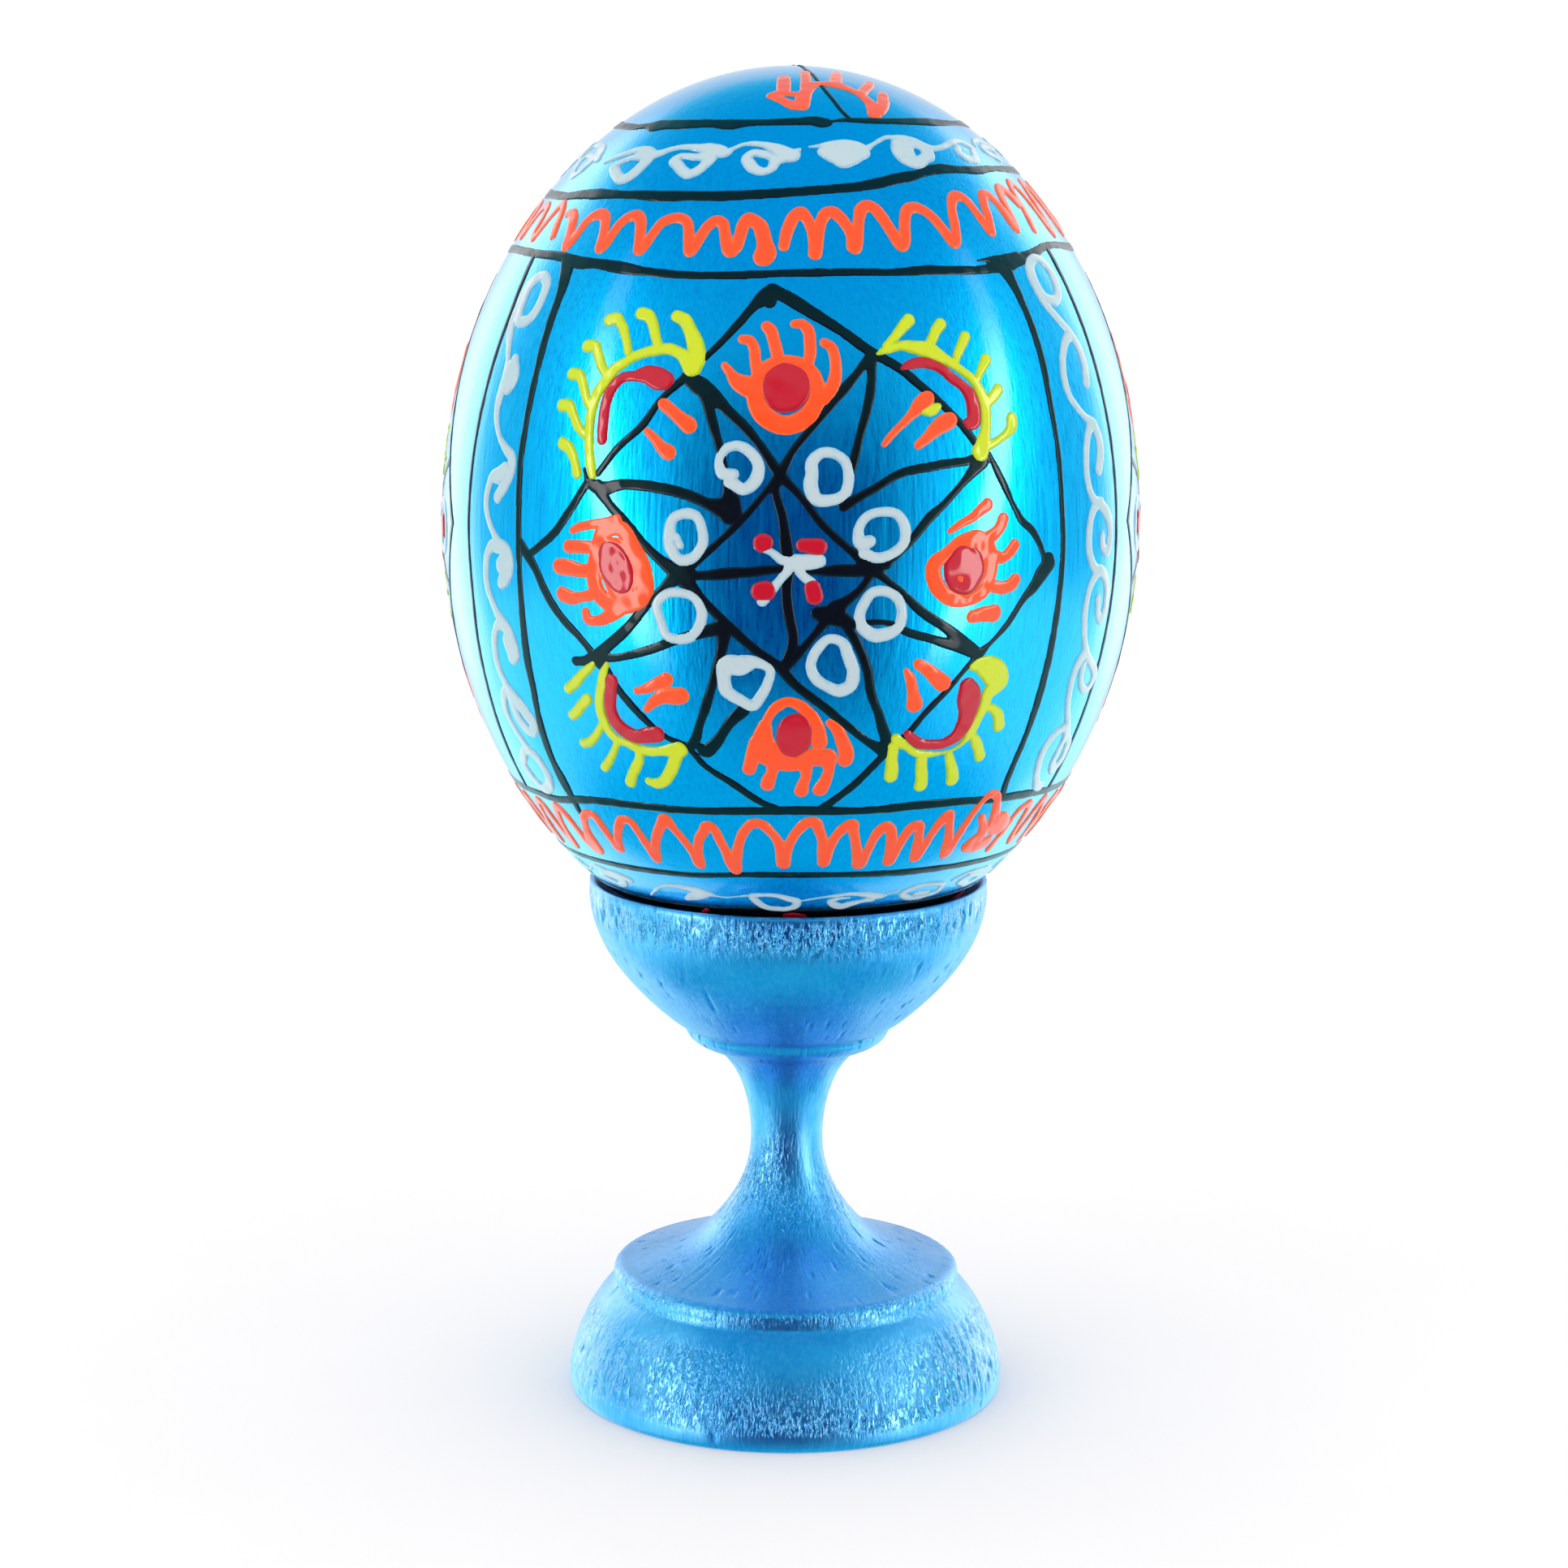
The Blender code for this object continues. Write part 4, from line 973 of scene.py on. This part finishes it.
class Recipe:
    """A node material built a node at a time round one Principled shader."""

    def __init__(self, name):
        self.material = bpy.data.materials.new(name)
        self.material.use_nodes = True
        self.tree = self.material.node_tree
        self.shader = self.tree.nodes["Principled BSDF"]

    def node(self, kind, inputs=None, **settings):
        made = self.tree.nodes.new(kind)
        for key, value in settings.items():
            setattr(made, key, value)
        for key, value in (inputs or {}).items():
            self.feed(made.inputs[key], value)
        return made

    def feed(self, socket, value):
        if isinstance(value, bpy.types.NodeSocket):
            self.tree.links.new(value, socket)
        else:
            socket.default_value = value

    def set(self, **values):
        for key, value in values.items():
            self.feed(self.shader.inputs[key.replace("_", " ")], value)

    def place(self, scale):
        """Object coordinates stretched by a scale for each axis."""
        if not hasattr(self, "coordinates"):
            self.coordinates = self.node("ShaderNodeTexCoord").outputs["Object"]
        inputs = {"Vector": self.coordinates, "Scale": scale}
        return self.node("ShaderNodeMapping", inputs).outputs["Vector"]

    def noise(self, scale, detail, distortion=0.0):
        inputs = {"Vector": self.place(scale), "Scale": 1.0, "Detail": detail, "Roughness": .55,
                  "Distortion": distortion}
        return self.node("ShaderNodeTexNoise", inputs).outputs["Fac"]

    def remap(self, value, low, high, to_low=0.0, to_high=1.0):
        inputs = {"Value": value, "From Min": low, "From Max": high, "To Min": to_low, "To Max": to_high}
        return self.node("ShaderNodeMapRange", inputs).outputs["Result"]

    def mix(self, share, first, second):
        made = self.node("ShaderNodeMix", data_type="RGBA")
        self.feed(made.inputs["Factor"], share)
        self.feed(made.inputs[6], first)
        self.feed(made.inputs[7], second)
        return made.outputs[2]

    def maths(self, operation, first, second):
        made = self.node("ShaderNodeMath", operation=operation)
        self.feed(made.inputs[0], first)
        self.feed(made.inputs[1], second)
        return made.outputs[0]

    def bump(self, height, strength, distance):
        inputs = {"Height": height, "Strength": strength, "Distance": distance}
        return self.node("ShaderNodeBump", inputs).outputs["Normal"]


GRAIN = (5200.0, 5200.0, 210.0)
COARSE_GRAIN = (1500.0, 1500.0, 55.0)
LATHE_RINGS = (60.0, 60.0, 5200.0)


def egg_lacquer():
    """Pearl blue stain on turned wood, under a thick clear gloss lacquer."""
    recipe = Recipe("egg_lacquer")
    grain = recipe.noise(GRAIN, 4.0)
    coarse = recipe.noise(COARSE_GRAIN, 3.0)
    rings = recipe.noise(LATHE_RINGS, 2.0)
    cloud = recipe.noise((90.0, 90.0, 60.0), 3.0)
    colour = recipe.mix(recipe.remap(grain, .36, .64), (0.0, .40, .80, 1), (0.0, .50, .90, 1))
    colour = recipe.mix(recipe.remap(cloud, .35, .65, 0.0, .5), colour, (0.0, .44, .84, 1))
    relief = recipe.maths("ADD", recipe.maths("MULTIPLY", grain, .8),
                          recipe.maths("MULTIPLY", rings, .22))
    relief = recipe.maths("ADD", relief, coarse)
    recipe.set(Base_Color=colour, Metallic=.97, Roughness=recipe.remap(grain, .3, .7, .24, .36),
               Normal=recipe.bump(relief, .26, .00008))
    recipe.set(Coat_Weight=1.0, Coat_Roughness=.02, Coat_IOR=1.48,
               Coat_Normal=recipe.bump(relief, .06, .00008))
    return recipe.material


def stand_paint():
    """Satin pearl blue paint on turned wood, with bright flecks where the grain is open."""
    recipe = Recipe("stand_paint")
    open_grain = recipe.node("ShaderNodeAttribute", attribute_name="open_grain").outputs["Fac"]
    grain = recipe.noise((4200.0, 4200.0, 700.0), 4.0)
    flecks = recipe.remap(recipe.noise((5600.0, 5600.0, 1700.0), 2.0, distortion=.4), .46, .66)
    cloud = recipe.noise((160.0, 160.0, 110.0), 4.0)
    colour = recipe.mix(recipe.remap(cloud, .35, .7), (.09, .34, .70, 1), (.22, .49, .80, 1))
    colour = recipe.mix(recipe.remap(grain, .4, .75, 0.0, .5), colour, (.36, .60, .88, 1))
    relief = recipe.maths("ADD", recipe.maths("MULTIPLY", grain, .25),
                          recipe.maths("MULTIPLY", recipe.maths("MULTIPLY", flecks, open_grain), -1.0))
    recipe.set(Base_Color=colour, Metallic=.96, Roughness=recipe.remap(open_grain, 0.0, 1.0, .37, .2),
               Normal=recipe.bump(relief, .8, .00014))
    recipe.set(Coat_Weight=recipe.remap(open_grain, 0.0, 1.0, .15, .9), Coat_Roughness=.12,
               Coat_IOR=1.5, Coat_Normal=recipe.bump(relief, .8, .00014))
    return recipe.material


def paint(name, full, thin, gloss=1.0):
    """Opaque brushed paint under the lacquer, thinner at its edges and along its bristle marks."""
    recipe = Recipe(name)
    depth = recipe.node("ShaderNodeAttribute", attribute_name="paint_depth").outputs["Fac"]
    streaks = recipe.noise((2600.0, 2600.0, 1500.0), 3.0, distortion=.6)
    cover = recipe.maths("ADD", recipe.remap(depth, 0.0, .8, -.35, .35), streaks)
    colour = recipe.mix(recipe.remap(cover, .15, .75), thin, full)
    recipe.set(Base_Color=colour, Roughness=recipe.remap(streaks, .3, .7, .3, .45),
               Normal=recipe.bump(streaks, .35, .00005))
    recipe.set(Coat_Weight=gloss, Coat_Roughness=.04, Coat_IOR=1.45, Specular_IOR_Level=.1)
    return recipe.material


PAINTS = {
    "paint_black": paint("paint_black", (.003, .003, .005, 1), (.005, .006, .012, 1), .55),
    "paint_white": paint("paint_white", (.50, .60, .64, 1), (.28, .48, .62, 1)),
    "paint_orange": paint("paint_orange", (.96, .075, .003, 1), (.92, .14, .02, 1)),
    "paint_lime": paint("paint_lime", (.60, .68, .002, 1), (.34, .52, .01, 1)),
    "paint_red": paint("paint_red", (.54, .002, .016, 1), (.40, .004, .02, 1)),
}

# Each colour's thickness and the width of its rounded edge, in mm. Later colours lie over
# earlier ones. Every edge dips into the egg by SINK.
THICKNESS = {"paint_black": .05, "paint_white": .09, "paint_orange": .09, "paint_lime": .10,
             "paint_red": .13}
ROUNDING = {"paint_black": .16, "paint_white": .22, "paint_orange": .22, "paint_lime": .22,
            "paint_red": .24}
SINK = 0.02


def paint_piece(name, slot, strokes, seed, patch=BAND):
    field = distance_field(patch, strokes)
    mesh = raised_mesh(name, patch, field, THICKNESS[slot], ROUNDING[slot], SINK, seed)
    return add_piece(name, mesh, PAINTS[slot], "egg")


def paint_front_and_back():
    hand_share = 1.06
    front = {
        "panel_lines": ("paint_black", wider(PANEL_LINES, 1.35)),
        "star_lines": ("paint_black", wider(STAR_LINES, 1.38)),
        "white_rings": ("paint_white", wider(WHITE_RINGS, 1.08)),
        "white_cross": ("paint_white", WHITE_CROSS),
        "white_left_wave": ("paint_white", LEFT_WAVE),
        "white_right_wave": ("paint_white", RIGHT_WAVE),
        "orange_top_hand": ("paint_orange", wider(TOP_HAND, hand_share)),
        "orange_left_hand": ("paint_orange", wider(LEFT_HAND, hand_share)),
        "orange_right_hand": ("paint_orange", wider(RIGHT_HAND, hand_share)),
        "orange_bottom_hand": ("paint_orange", wider(BOTTOM_HAND, hand_share)),
        "orange_dashes": ("paint_orange", wider(ORANGE_DASHES, 1.1)),
        "lime_combs": ("paint_lime", wider(LIME_COMBS, 1.12)),
        "red_crescents": ("paint_red", wider(RED_CRESCENTS, 1.15)),
        "red_berries": ("paint_red", RED_BERRIES),
        "red_dots": ("paint_red", RED_DOTS),
    }
    for step, (name, (slot, strokes)) in enumerate(front.items()):
        paint_piece("front_" + name, slot, strokes, 21 + step)
        behind = free_hand(turned(strokes, 180.0), 200)
        paint_piece("back_" + name, slot, behind, 61 + step)


def paint_sides():
    motifs = {
        "lines": ("paint_black", SIDE_LINES),
        "white_rings": ("paint_white", SIDE_RINGS),
        "white_cross": ("paint_white", WHITE_CROSS),
        "lime_combs": ("paint_lime", SIDE_COMBS),
        "orange_hands": ("paint_orange", SIDE_HANDS),
        "red_berries": ("paint_red", SIDE_BERRIES),
        "red_dots": ("paint_red", RED_DOTS),
    }
    for side, centre, seed in (("right", 90.0, 300), ("left", -90.0, 340)):
        for step, (name, (slot, strokes)) in enumerate(motifs.items()):
            drawn = free_hand(turned(strokes, centre), seed)
            paint_piece(f"{side}_{name}", slot, drawn, seed + step)


def paint_bands():
    """The bands between the lines: drawn as seen in front, and carried on round the back."""
    over_top_wave, under_top_wave = 82.3, line_height(UNDER_TOP_WAVE)
    over_panels = line_height(OVER_PANELS)
    under_panels = line_height(UNDER_PANELS)
    over_bottom_wave = line_height(OVER_BOTTOM_WAVE)

    top = loop_wave(63.0, 300.0, 12, under_top_wave, lambda turn: over_top_wave, 51)
    paint_piece("white_top_wave", "paint_white", sloped(wider(TOP_WAVE, 1.12) + top), 52)
    bottom = loop_wave(47.0, 318.0, 13, lambda turn: 34.75, lambda turn: 36.95, 53)
    paint_piece("white_bottom_wave", "paint_white", sloped(BOTTOM_WAVE + bottom), 54)

    upper = zigzag(61.0, 303.0, 25, over_panels, under_top_wave, .66, 55)
    paint_piece("orange_upper_zigzag", "paint_orange", wider(UPPER_ZIGZAG, 1.22) + upper, 56)
    lower = zigzag(52.0, 310.0, 30, over_bottom_wave, under_panels, .66, 57)
    paint_piece("orange_lower_zigzag", "paint_orange", wider(LOWER_ZIGZAG, 1.15) + lower, 58)

    marks = [stroke for turn in (0, 88, 176, 268) for stroke in turned(RED_RIM_MARKS, turn)]
    paint_piece("red_rim_marks", "paint_red", sloped(marks), 59)


def paint_cap():
    """A spoke and a comb at the front of the cap, and again at its back."""
    spokes, combs = [], []
    for degrees in (0.0, 180.0):
        spokes += spun([CAP_SPOKE], degrees)
        combs += spun(CAP_COMB, degrees)
    paint_piece("cap_black_spokes", "paint_black", from_above(spokes), 61, CAP)
    paint_piece("cap_orange_combs", "paint_orange", from_above(combs), 62, CAP)


def paint_decoration():
    paint_piece("black_band_lines", "paint_black", sloped(wider(BAND_LINES, 1.28)), 11)
    paint_front_and_back()
    paint_sides()
    paint_bands()
    paint_cap()


# ---------------------------------------------------------------------------------------
# The egg's own surface.

def grid_mesh(name, places, closed_ends):
    """A mesh from rows of points round the axis; each row joins up with its own start."""
    rows, columns = places.shape[:2]
    grid = np.arange(rows * columns).reshape(rows, columns)
    right = np.roll(grid, -1, axis=1)
    quads = np.stack([grid[:-1], right[:-1], right[1:], grid[1:]], -1).reshape(-1, 4)
    points = places.reshape(-1, 3)
    groups = [quads]
    if closed_ends:
        bottom, top = len(points), len(points) + 1
        ends = np.array([[0, 0, places[0, 0, 2]], [0, 0, places[-1, 0, 2]]])
        points = np.concatenate([points, ends])
        groups.append(np.stack([right[0], grid[0], np.full(columns, bottom)], -1))
        groups.append(np.stack([grid[-1], right[-1], np.full(columns, top)], -1))
    return built_mesh(name, points * MM, groups, np.concatenate([g.ravel() for g in groups]))


def make_egg():
    columns, rows = 320, 220
    pole = math.radians(89.6)
    turn, rise = np.meshgrid(np.arange(columns) * 2.0 * math.pi / columns, np.linspace(-pole, pole, rows))
    mesh = grid_mesh("egg_wood", egg_point(turn, rise), True)
    piece = add_piece("egg_wood", mesh, egg_lacquer(), "egg")
    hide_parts("egg")
    return piece


# ---------------------------------------------------------------------------------------
# The stand: its profile is read off the CAD node and made round and grained.

def meridian(node):
    """The outline (radius, height) of a turned CAD node in mm, from its inner end to its outer."""
    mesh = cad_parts[node].data
    places = np.array([v.co[:] for v in mesh.vertices]) / MM
    keys = [tuple(np.round(p, 3) + 0.0) for p in places]
    on_plane = {key for key in keys if abs(key[1]) < 1e-3 and key[0] > -1e-3}
    links = {key: set() for key in on_plane}
    for edge in mesh.edges:
        first, second = keys[edge.vertices[0]], keys[edge.vertices[1]]
        if first in on_plane and second in on_plane and first != second:
            links[first].add(second)
            links[second].add(first)
    start = max((key for key in on_plane if abs(key[0]) < 1e-3), key=lambda key: key[2])
    outline, reached = [start], {start}
    while links[outline[-1]] - reached:
        nearest = min(links[outline[-1]] - reached, key=lambda key: math.dist(key, outline[-1]))
        outline.append(nearest)
        reached.add(nearest)
    outline.append((0.0, 0.0, outline[-1][2]))
    return np.array([(key[0], key[2]) for key in outline])


def refined(outline, spacing, corner=40.0, longest_curved=3.0):
    """The outline with a point at least every spacing mm, smooth everywhere but at its sharp corners."""
    moves = np.diff(outline, axis=0)
    chord = np.linalg.norm(moves, axis=1)
    heading = np.degrees(np.arctan2(moves[:, 1], moves[:, 0]))
    bend = np.abs((np.diff(heading) + 180.0) % 360.0 - 180.0)
    points = [outline[0]]
    for index in range(len(moves)):
        first, second = outline[index], outline[index + 1]
        own = moves[index] / chord[index]
        straight = chord[index] > longest_curved
        starts_sharp = straight or index == 0 or bend[index - 1] > corner
        ends_sharp = straight or index == len(moves) - 1 or bend[index] > corner

        def tangent(other, other_chord):
            mixed = own * other_chord + other / other_chord * chord[index]
            return mixed / np.linalg.norm(mixed)

        leave = own if starts_sharp else tangent(moves[index - 1], chord[index - 1])
        arrive = own if ends_sharp else tangent(moves[index + 1], chord[index + 1])
        count = max(1, int(math.ceil(chord[index] / spacing[index])))
        for step in range(1, count + 1):
            t = step / count
            points.append((2 * t**3 - 3 * t**2 + 1) * first + (t**3 - 2 * t**2 + t) * chord[index] * leave
                          + (3 * t**2 - 2 * t**3) * second + (t**3 - t**2) * chord[index] * arrive)
    return np.array(points)


def lattice_noise(across, along, columns, seed):
    """Smooth random values, 0 to 1, on a lattice that joins up round the axis."""
    random = np.random.default_rng(seed)
    rows = int(along.max()) + 3
    table = random.random((rows, columns))
    column = np.floor(across).astype(int)
    row = np.floor(along).astype(int)
    u, v = across - column, along - row
    u, v = u * u * (3 - 2 * u), v * v * (3 - 2 * v)
    left, right = column % columns, (column + 1) % columns
    low = table[row, left] * (1 - u) + table[row, right] * u
    high = table[row + 1, left] * (1 - u) + table[row + 1, right] * u
    return low * (1 - v) + high * v


# In mm but for the first: the mesh's columns, the height of the drum foot's upper edge, the
# spacing of the mesh's rows where they show and where they don't, and the depth of a grain pit and
# of the fibres between pits.
STAND_COLUMNS = 576
DRUM_TOP = 7.1
FINE_ROWS, HIDDEN_ROWS = .4, 1.5
PIT_DEPTH, FIBRE_DEPTH = .13, .012


def between(value, fade_in, fade_out):
    """1 between two fades, each a pair of values, and 0 outside them."""
    return soft_step(*fade_in, value) * (1.0 - soft_step(*fade_out, value))


def grain_areas(height, outside):
    """Where the wood's open grain shows through the stand's paint, 0 to 1: its upright walls."""
    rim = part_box("stand")[1].z / MM
    drum = between(height, (.6, 1.6), (DRUM_TOP - 1.6, DRUM_TOP - .6))
    step_face = .6 * between(height, (DRUM_TOP - .1, DRUM_TOP + .1), (DRUM_TOP + 1.0, DRUM_TOP + 1.3))
    stem = .7 * between(height, (9.0, 13.5), (14.0, 21.0))
    cup = between(height, (rim - 3.6, rim - 1.2), (rim - .6, rim - .2))
    return outside * np.clip(.05 + drum + step_face + stem + cup, 0.0, 1.0)


def make_stand():
    coarse = meridian("stand")
    rim_top = np.argmax(coarse[:, 1])
    shows = (np.arange(len(coarse) - 1) >= rim_top) & (coarse[:-1, 1] > .01)
    outline = refined(coarse, np.where(shows, FINE_ROWS, HIDDEN_ROWS))
    steps = np.linalg.norm(np.diff(outline, axis=0), axis=1)
    arc = np.concatenate([[0.0], np.cumsum(steps)])[:, None]
    heading = np.gradient(outline, axis=0)
    heading /= np.linalg.norm(heading, axis=1)[:, None]
    out, up = -heading[:, 1][:, None], heading[:, 0][:, None]
    steep = np.abs(heading[:, 1])[:, None]
    turn = np.arange(STAND_COLUMNS)[None, :] * 2.0 * math.pi / STAND_COLUMNS
    radius, height = outline[:, 0][:, None], outline[:, 1][:, None]

    def noise(columns, along, seed):
        return lattice_noise(turn * columns / (2 * math.pi) + 0 * height, along + 0 * turn, columns, seed)

    short = noise(288, height / .62, 5)
    fibre = noise(190, height / 1.5, 6)
    patches = noise(12, height / 3.0, 8)
    scattered = noise(160, arc / .45, 7)
    outside = (np.arange(len(outline)) > np.argmax(outline[:, 1]))[:, None] * (height > .5)
    open_grain = grain_areas(height, outside) * np.clip(.3 + 1.1 * (patches - .15), 0.0, .85)
    open_grain = open_grain * soft_step(.02, .5, open_grain)
    pit = np.clip((short - .56) / .25, 0.0, 1.0) * open_grain * steep
    pit = pit + .8 * np.clip((scattered - .86) / .12, 0.0, 1.0) * outside
    near_axis = np.clip((radius - 1.0) / 5.0, 0.0, 1.0)
    depth = (PIT_DEPTH * pit + FIBRE_DEPTH * outside * (fibre - .5)) * near_axis
    places = np.stack([(radius - depth * out) * np.sin(turn), -(radius - depth * out) * np.cos(turn),
                       height - depth * up], -1)
    # The outline runs from the hollow's floor up, over the rim and down to the underside. Its two
    # ends on the axis are left to the mesh's closed ends.
    inner_rows = slice(-2, 0, -1)
    mesh = grid_mesh("stand_wood", places[inner_rows], True)
    grain = np.concatenate([open_grain[inner_rows].ravel(), [0.0, 0.0]])
    shade = mesh.attributes.new("open_grain", "FLOAT", "POINT")
    shade.data.foreach_set("value", grain.astype(np.float32))
    piece = add_piece("stand_wood", mesh, stand_paint(), "stand")
    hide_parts("stand")
    return piece


# ---------------------------------------------------------------------------------------
# Camera, floor and light.

CAMERA_PLACE = (0.0, -0.23392, 0.082093)
CAMERA_LENS = 83.88
CAMERA_DOWN, CAMERA_YAW, CAMERA_ROLL = 10.10, 0.079, 0.365


def make_camera():
    """The photograph's viewpoint, found by fitting the rim, the disc and the foot."""
    data = bpy.data.cameras.new("camera")
    data.sensor_width = 36.0
    data.lens = CAMERA_LENS
    data.clip_start, data.clip_end = 0.01, 20.0
    camera = bpy.data.objects.new("camera", data)
    camera.location = CAMERA_PLACE
    camera.rotation_mode = "QUATERNION"
    aim = Euler((math.radians(90.0 - CAMERA_DOWN), 0, math.radians(CAMERA_YAW))).to_matrix()
    turn = aim @ Matrix.Rotation(math.radians(CAMERA_ROLL), 3, "Z")
    camera.rotation_quaternion = turn.to_quaternion()
    bpy.context.scene.collection.objects.link(camera)
    bpy.context.scene.camera = camera
    return camera


def blend(share, first, second):
    return first + (second - first) * share[..., None]


# Colours of the tent that the egg and the stand reflect. It is blue-green in front, because the
# pearl paint there shows no red, dark behind the camera and white behind the object.
SIDE_GLOW = np.array([.06, .80, .92])
ABOVE_GLOW = np.array([.0, .56, .80])
BELOW_GLOW = np.array([.0, .70, .86])
DARK_GLOW = np.array([.003, .034, .19])
LOW_CARD = np.array([.5, 1.4, 1.55])
BACK_EDGE = np.array([2.1, 2.2, 2.3])
BACK_MIDDLE = np.array([.80, .88, .95])


def tent_glow(azimuth, elevation):
    """The tent's colour and brightness at angles in degrees, with azimuth 0 at the camera's side."""
    out = np.abs(azimuth)
    glow = blend(soft_step(25.0, 55.0, elevation), SIDE_GLOW, ABOVE_GLOW)
    glow = blend(soft_step(-30.0, -50.0, elevation), glow, BELOW_GLOW)
    shade = 1.0 - soft_step(24.0, 46.0, out)
    glow = blend(shade * between(elevation, (-52.0, -26.0), (6.0, 44.0)), glow, DARK_GLOW)
    low = soft_step(42.0, 74.0, out) * between(elevation, (-48.0, -34.0), (-16.0, -8.0))
    glow = blend(low, glow, LOW_CARD)
    behind = soft_step(118.0, 132.0, out) * (1.0 - soft_step(30.0, 42.0, elevation))
    behind = behind * (.45 + .55 * soft_step(-22.0, -12.0, elevation))
    middle = soft_step(142.0, 164.0, out)
    glow = blend(behind, glow, blend(middle, BACK_EDGE, BACK_MIDDLE))
    # Two slanted light tubes, left and right, dimmer above.
    tubes = ((-60.0 - .5 * elevation, 5.0, 7.0), (66.0 + .55 * elevation, 4.5, 7.5))
    for middle_azimuth, half_width, power in tubes:
        away = np.abs(azimuth - middle_azimuth)
        edge = 1.0 - soft_step(half_width - 1.5, half_width + 1.5, away)
        edge = edge * (1.0 - .85 * soft_step(14.0, 36.0, elevation))
        edge = edge * between(elevation, (-32.0, -12.0), (36.0, 50.0))
        glow = blend(edge, glow, np.array([power, power, power]))
    return glow


def make_tent():
    """A dome of cards round the object that only its reflections see."""
    reach, columns, rows = .8, 360, 181
    azimuth, elevation = np.meshgrid(np.arange(columns) - 180.0, np.linspace(-89.5, 89.5, rows))
    turn, rise = np.radians(azimuth), np.radians(elevation)
    flat = reach * np.cos(rise) / MM
    places = np.stack([flat * np.sin(turn), -flat * np.cos(turn),
                       reach * np.sin(rise) / MM + EGG_CENTRE], -1)
    mesh = grid_mesh("tent", places, False)
    glow = mesh.attributes.new("glow", "FLOAT_COLOR", "POINT")
    colours = np.concatenate([tent_glow(azimuth, elevation), np.ones((rows, columns, 1))], -1)
    glow.data.foreach_set("color", colours.astype(np.float32).ravel())
    material = bpy.data.materials.new("tent")
    material.use_nodes = True
    material.cycles.emission_sampling = "NONE"
    tree = material.node_tree
    tree.nodes.clear()
    shade = tree.nodes.new("ShaderNodeAttribute")
    shade.attribute_name = "glow"
    light = tree.nodes.new("ShaderNodeEmission")
    out = tree.nodes.new("ShaderNodeOutputMaterial")
    tree.links.new(shade.outputs["Color"], light.inputs["Color"])
    tree.links.new(light.outputs[0], out.inputs["Surface"])
    mesh.materials.append(material)
    tent = bpy.data.objects.new("tent", mesh)
    tent.visible_camera = False
    tent.visible_diffuse = False
    tent.visible_shadow = False
    tent.visible_transmission = False
    bpy.context.scene.collection.objects.link(tent)


def area_light(name, place, target, width, height, radiance):
    data = bpy.data.lights.new(name, "AREA")
    data.shape = "RECTANGLE"
    data.size, data.size_y = width, height
    data.energy = radiance * math.pi * width * height
    lamp = bpy.data.objects.new(name, data)
    lamp.location = place
    lamp.rotation_mode = "QUATERNION"
    lamp.rotation_quaternion = (Vector(target) - Vector(place)).to_track_quat("-Z", "Y")
    lamp.visible_camera = False
    lamp.visible_glossy = False
    bpy.context.scene.collection.objects.link(lamp)
    return lamp


def make_floor():
    recipe = Recipe("floor_paper")
    tone = recipe.noise((35.0, 35.0, 35.0), 3.0)
    colour = recipe.mix(recipe.remap(tone, .3, .7), (.915, .893, .882, 1), (.93, .908, .895, 1))
    recipe.set(Base_Color=colour, Roughness=.9, Specular_IOR_Level=0.0)
    mesh = bpy.data.meshes.new("floor")
    reach = 6.0
    corners = [(-reach, -reach, 0), (reach, -reach, 0), (reach, reach, 0), (-reach, reach, 0)]
    mesh.from_pydata(corners, [], [(0, 1, 2, 3)])
    mesh.materials.append(recipe.material)
    floor = bpy.data.objects.new("floor", mesh)
    floor.visible_glossy = False
    bpy.context.scene.collection.objects.link(floor)


def make_studio():
    world = bpy.data.worlds.new("studio")
    world.use_nodes = True
    background = world.node_tree.nodes["Background"]
    background.inputs["Color"].default_value = (1, 1, 1, 1)
    background.inputs["Strength"].default_value = 1.14
    bpy.context.scene.world = world
    bpy.context.scene.view_settings.view_transform = "Standard"
    middle = (0.0, 0.0, 0.058)
    area_light("soft_left", (-.42, -.30, .40), middle, .30, .40, .5)
    area_light("soft_right", (.42, -.25, .40), middle, .30, .40, .4)
    make_tent()


make_camera()
make_floor()
make_studio()
make_egg()
make_stand()
paint_decoration()
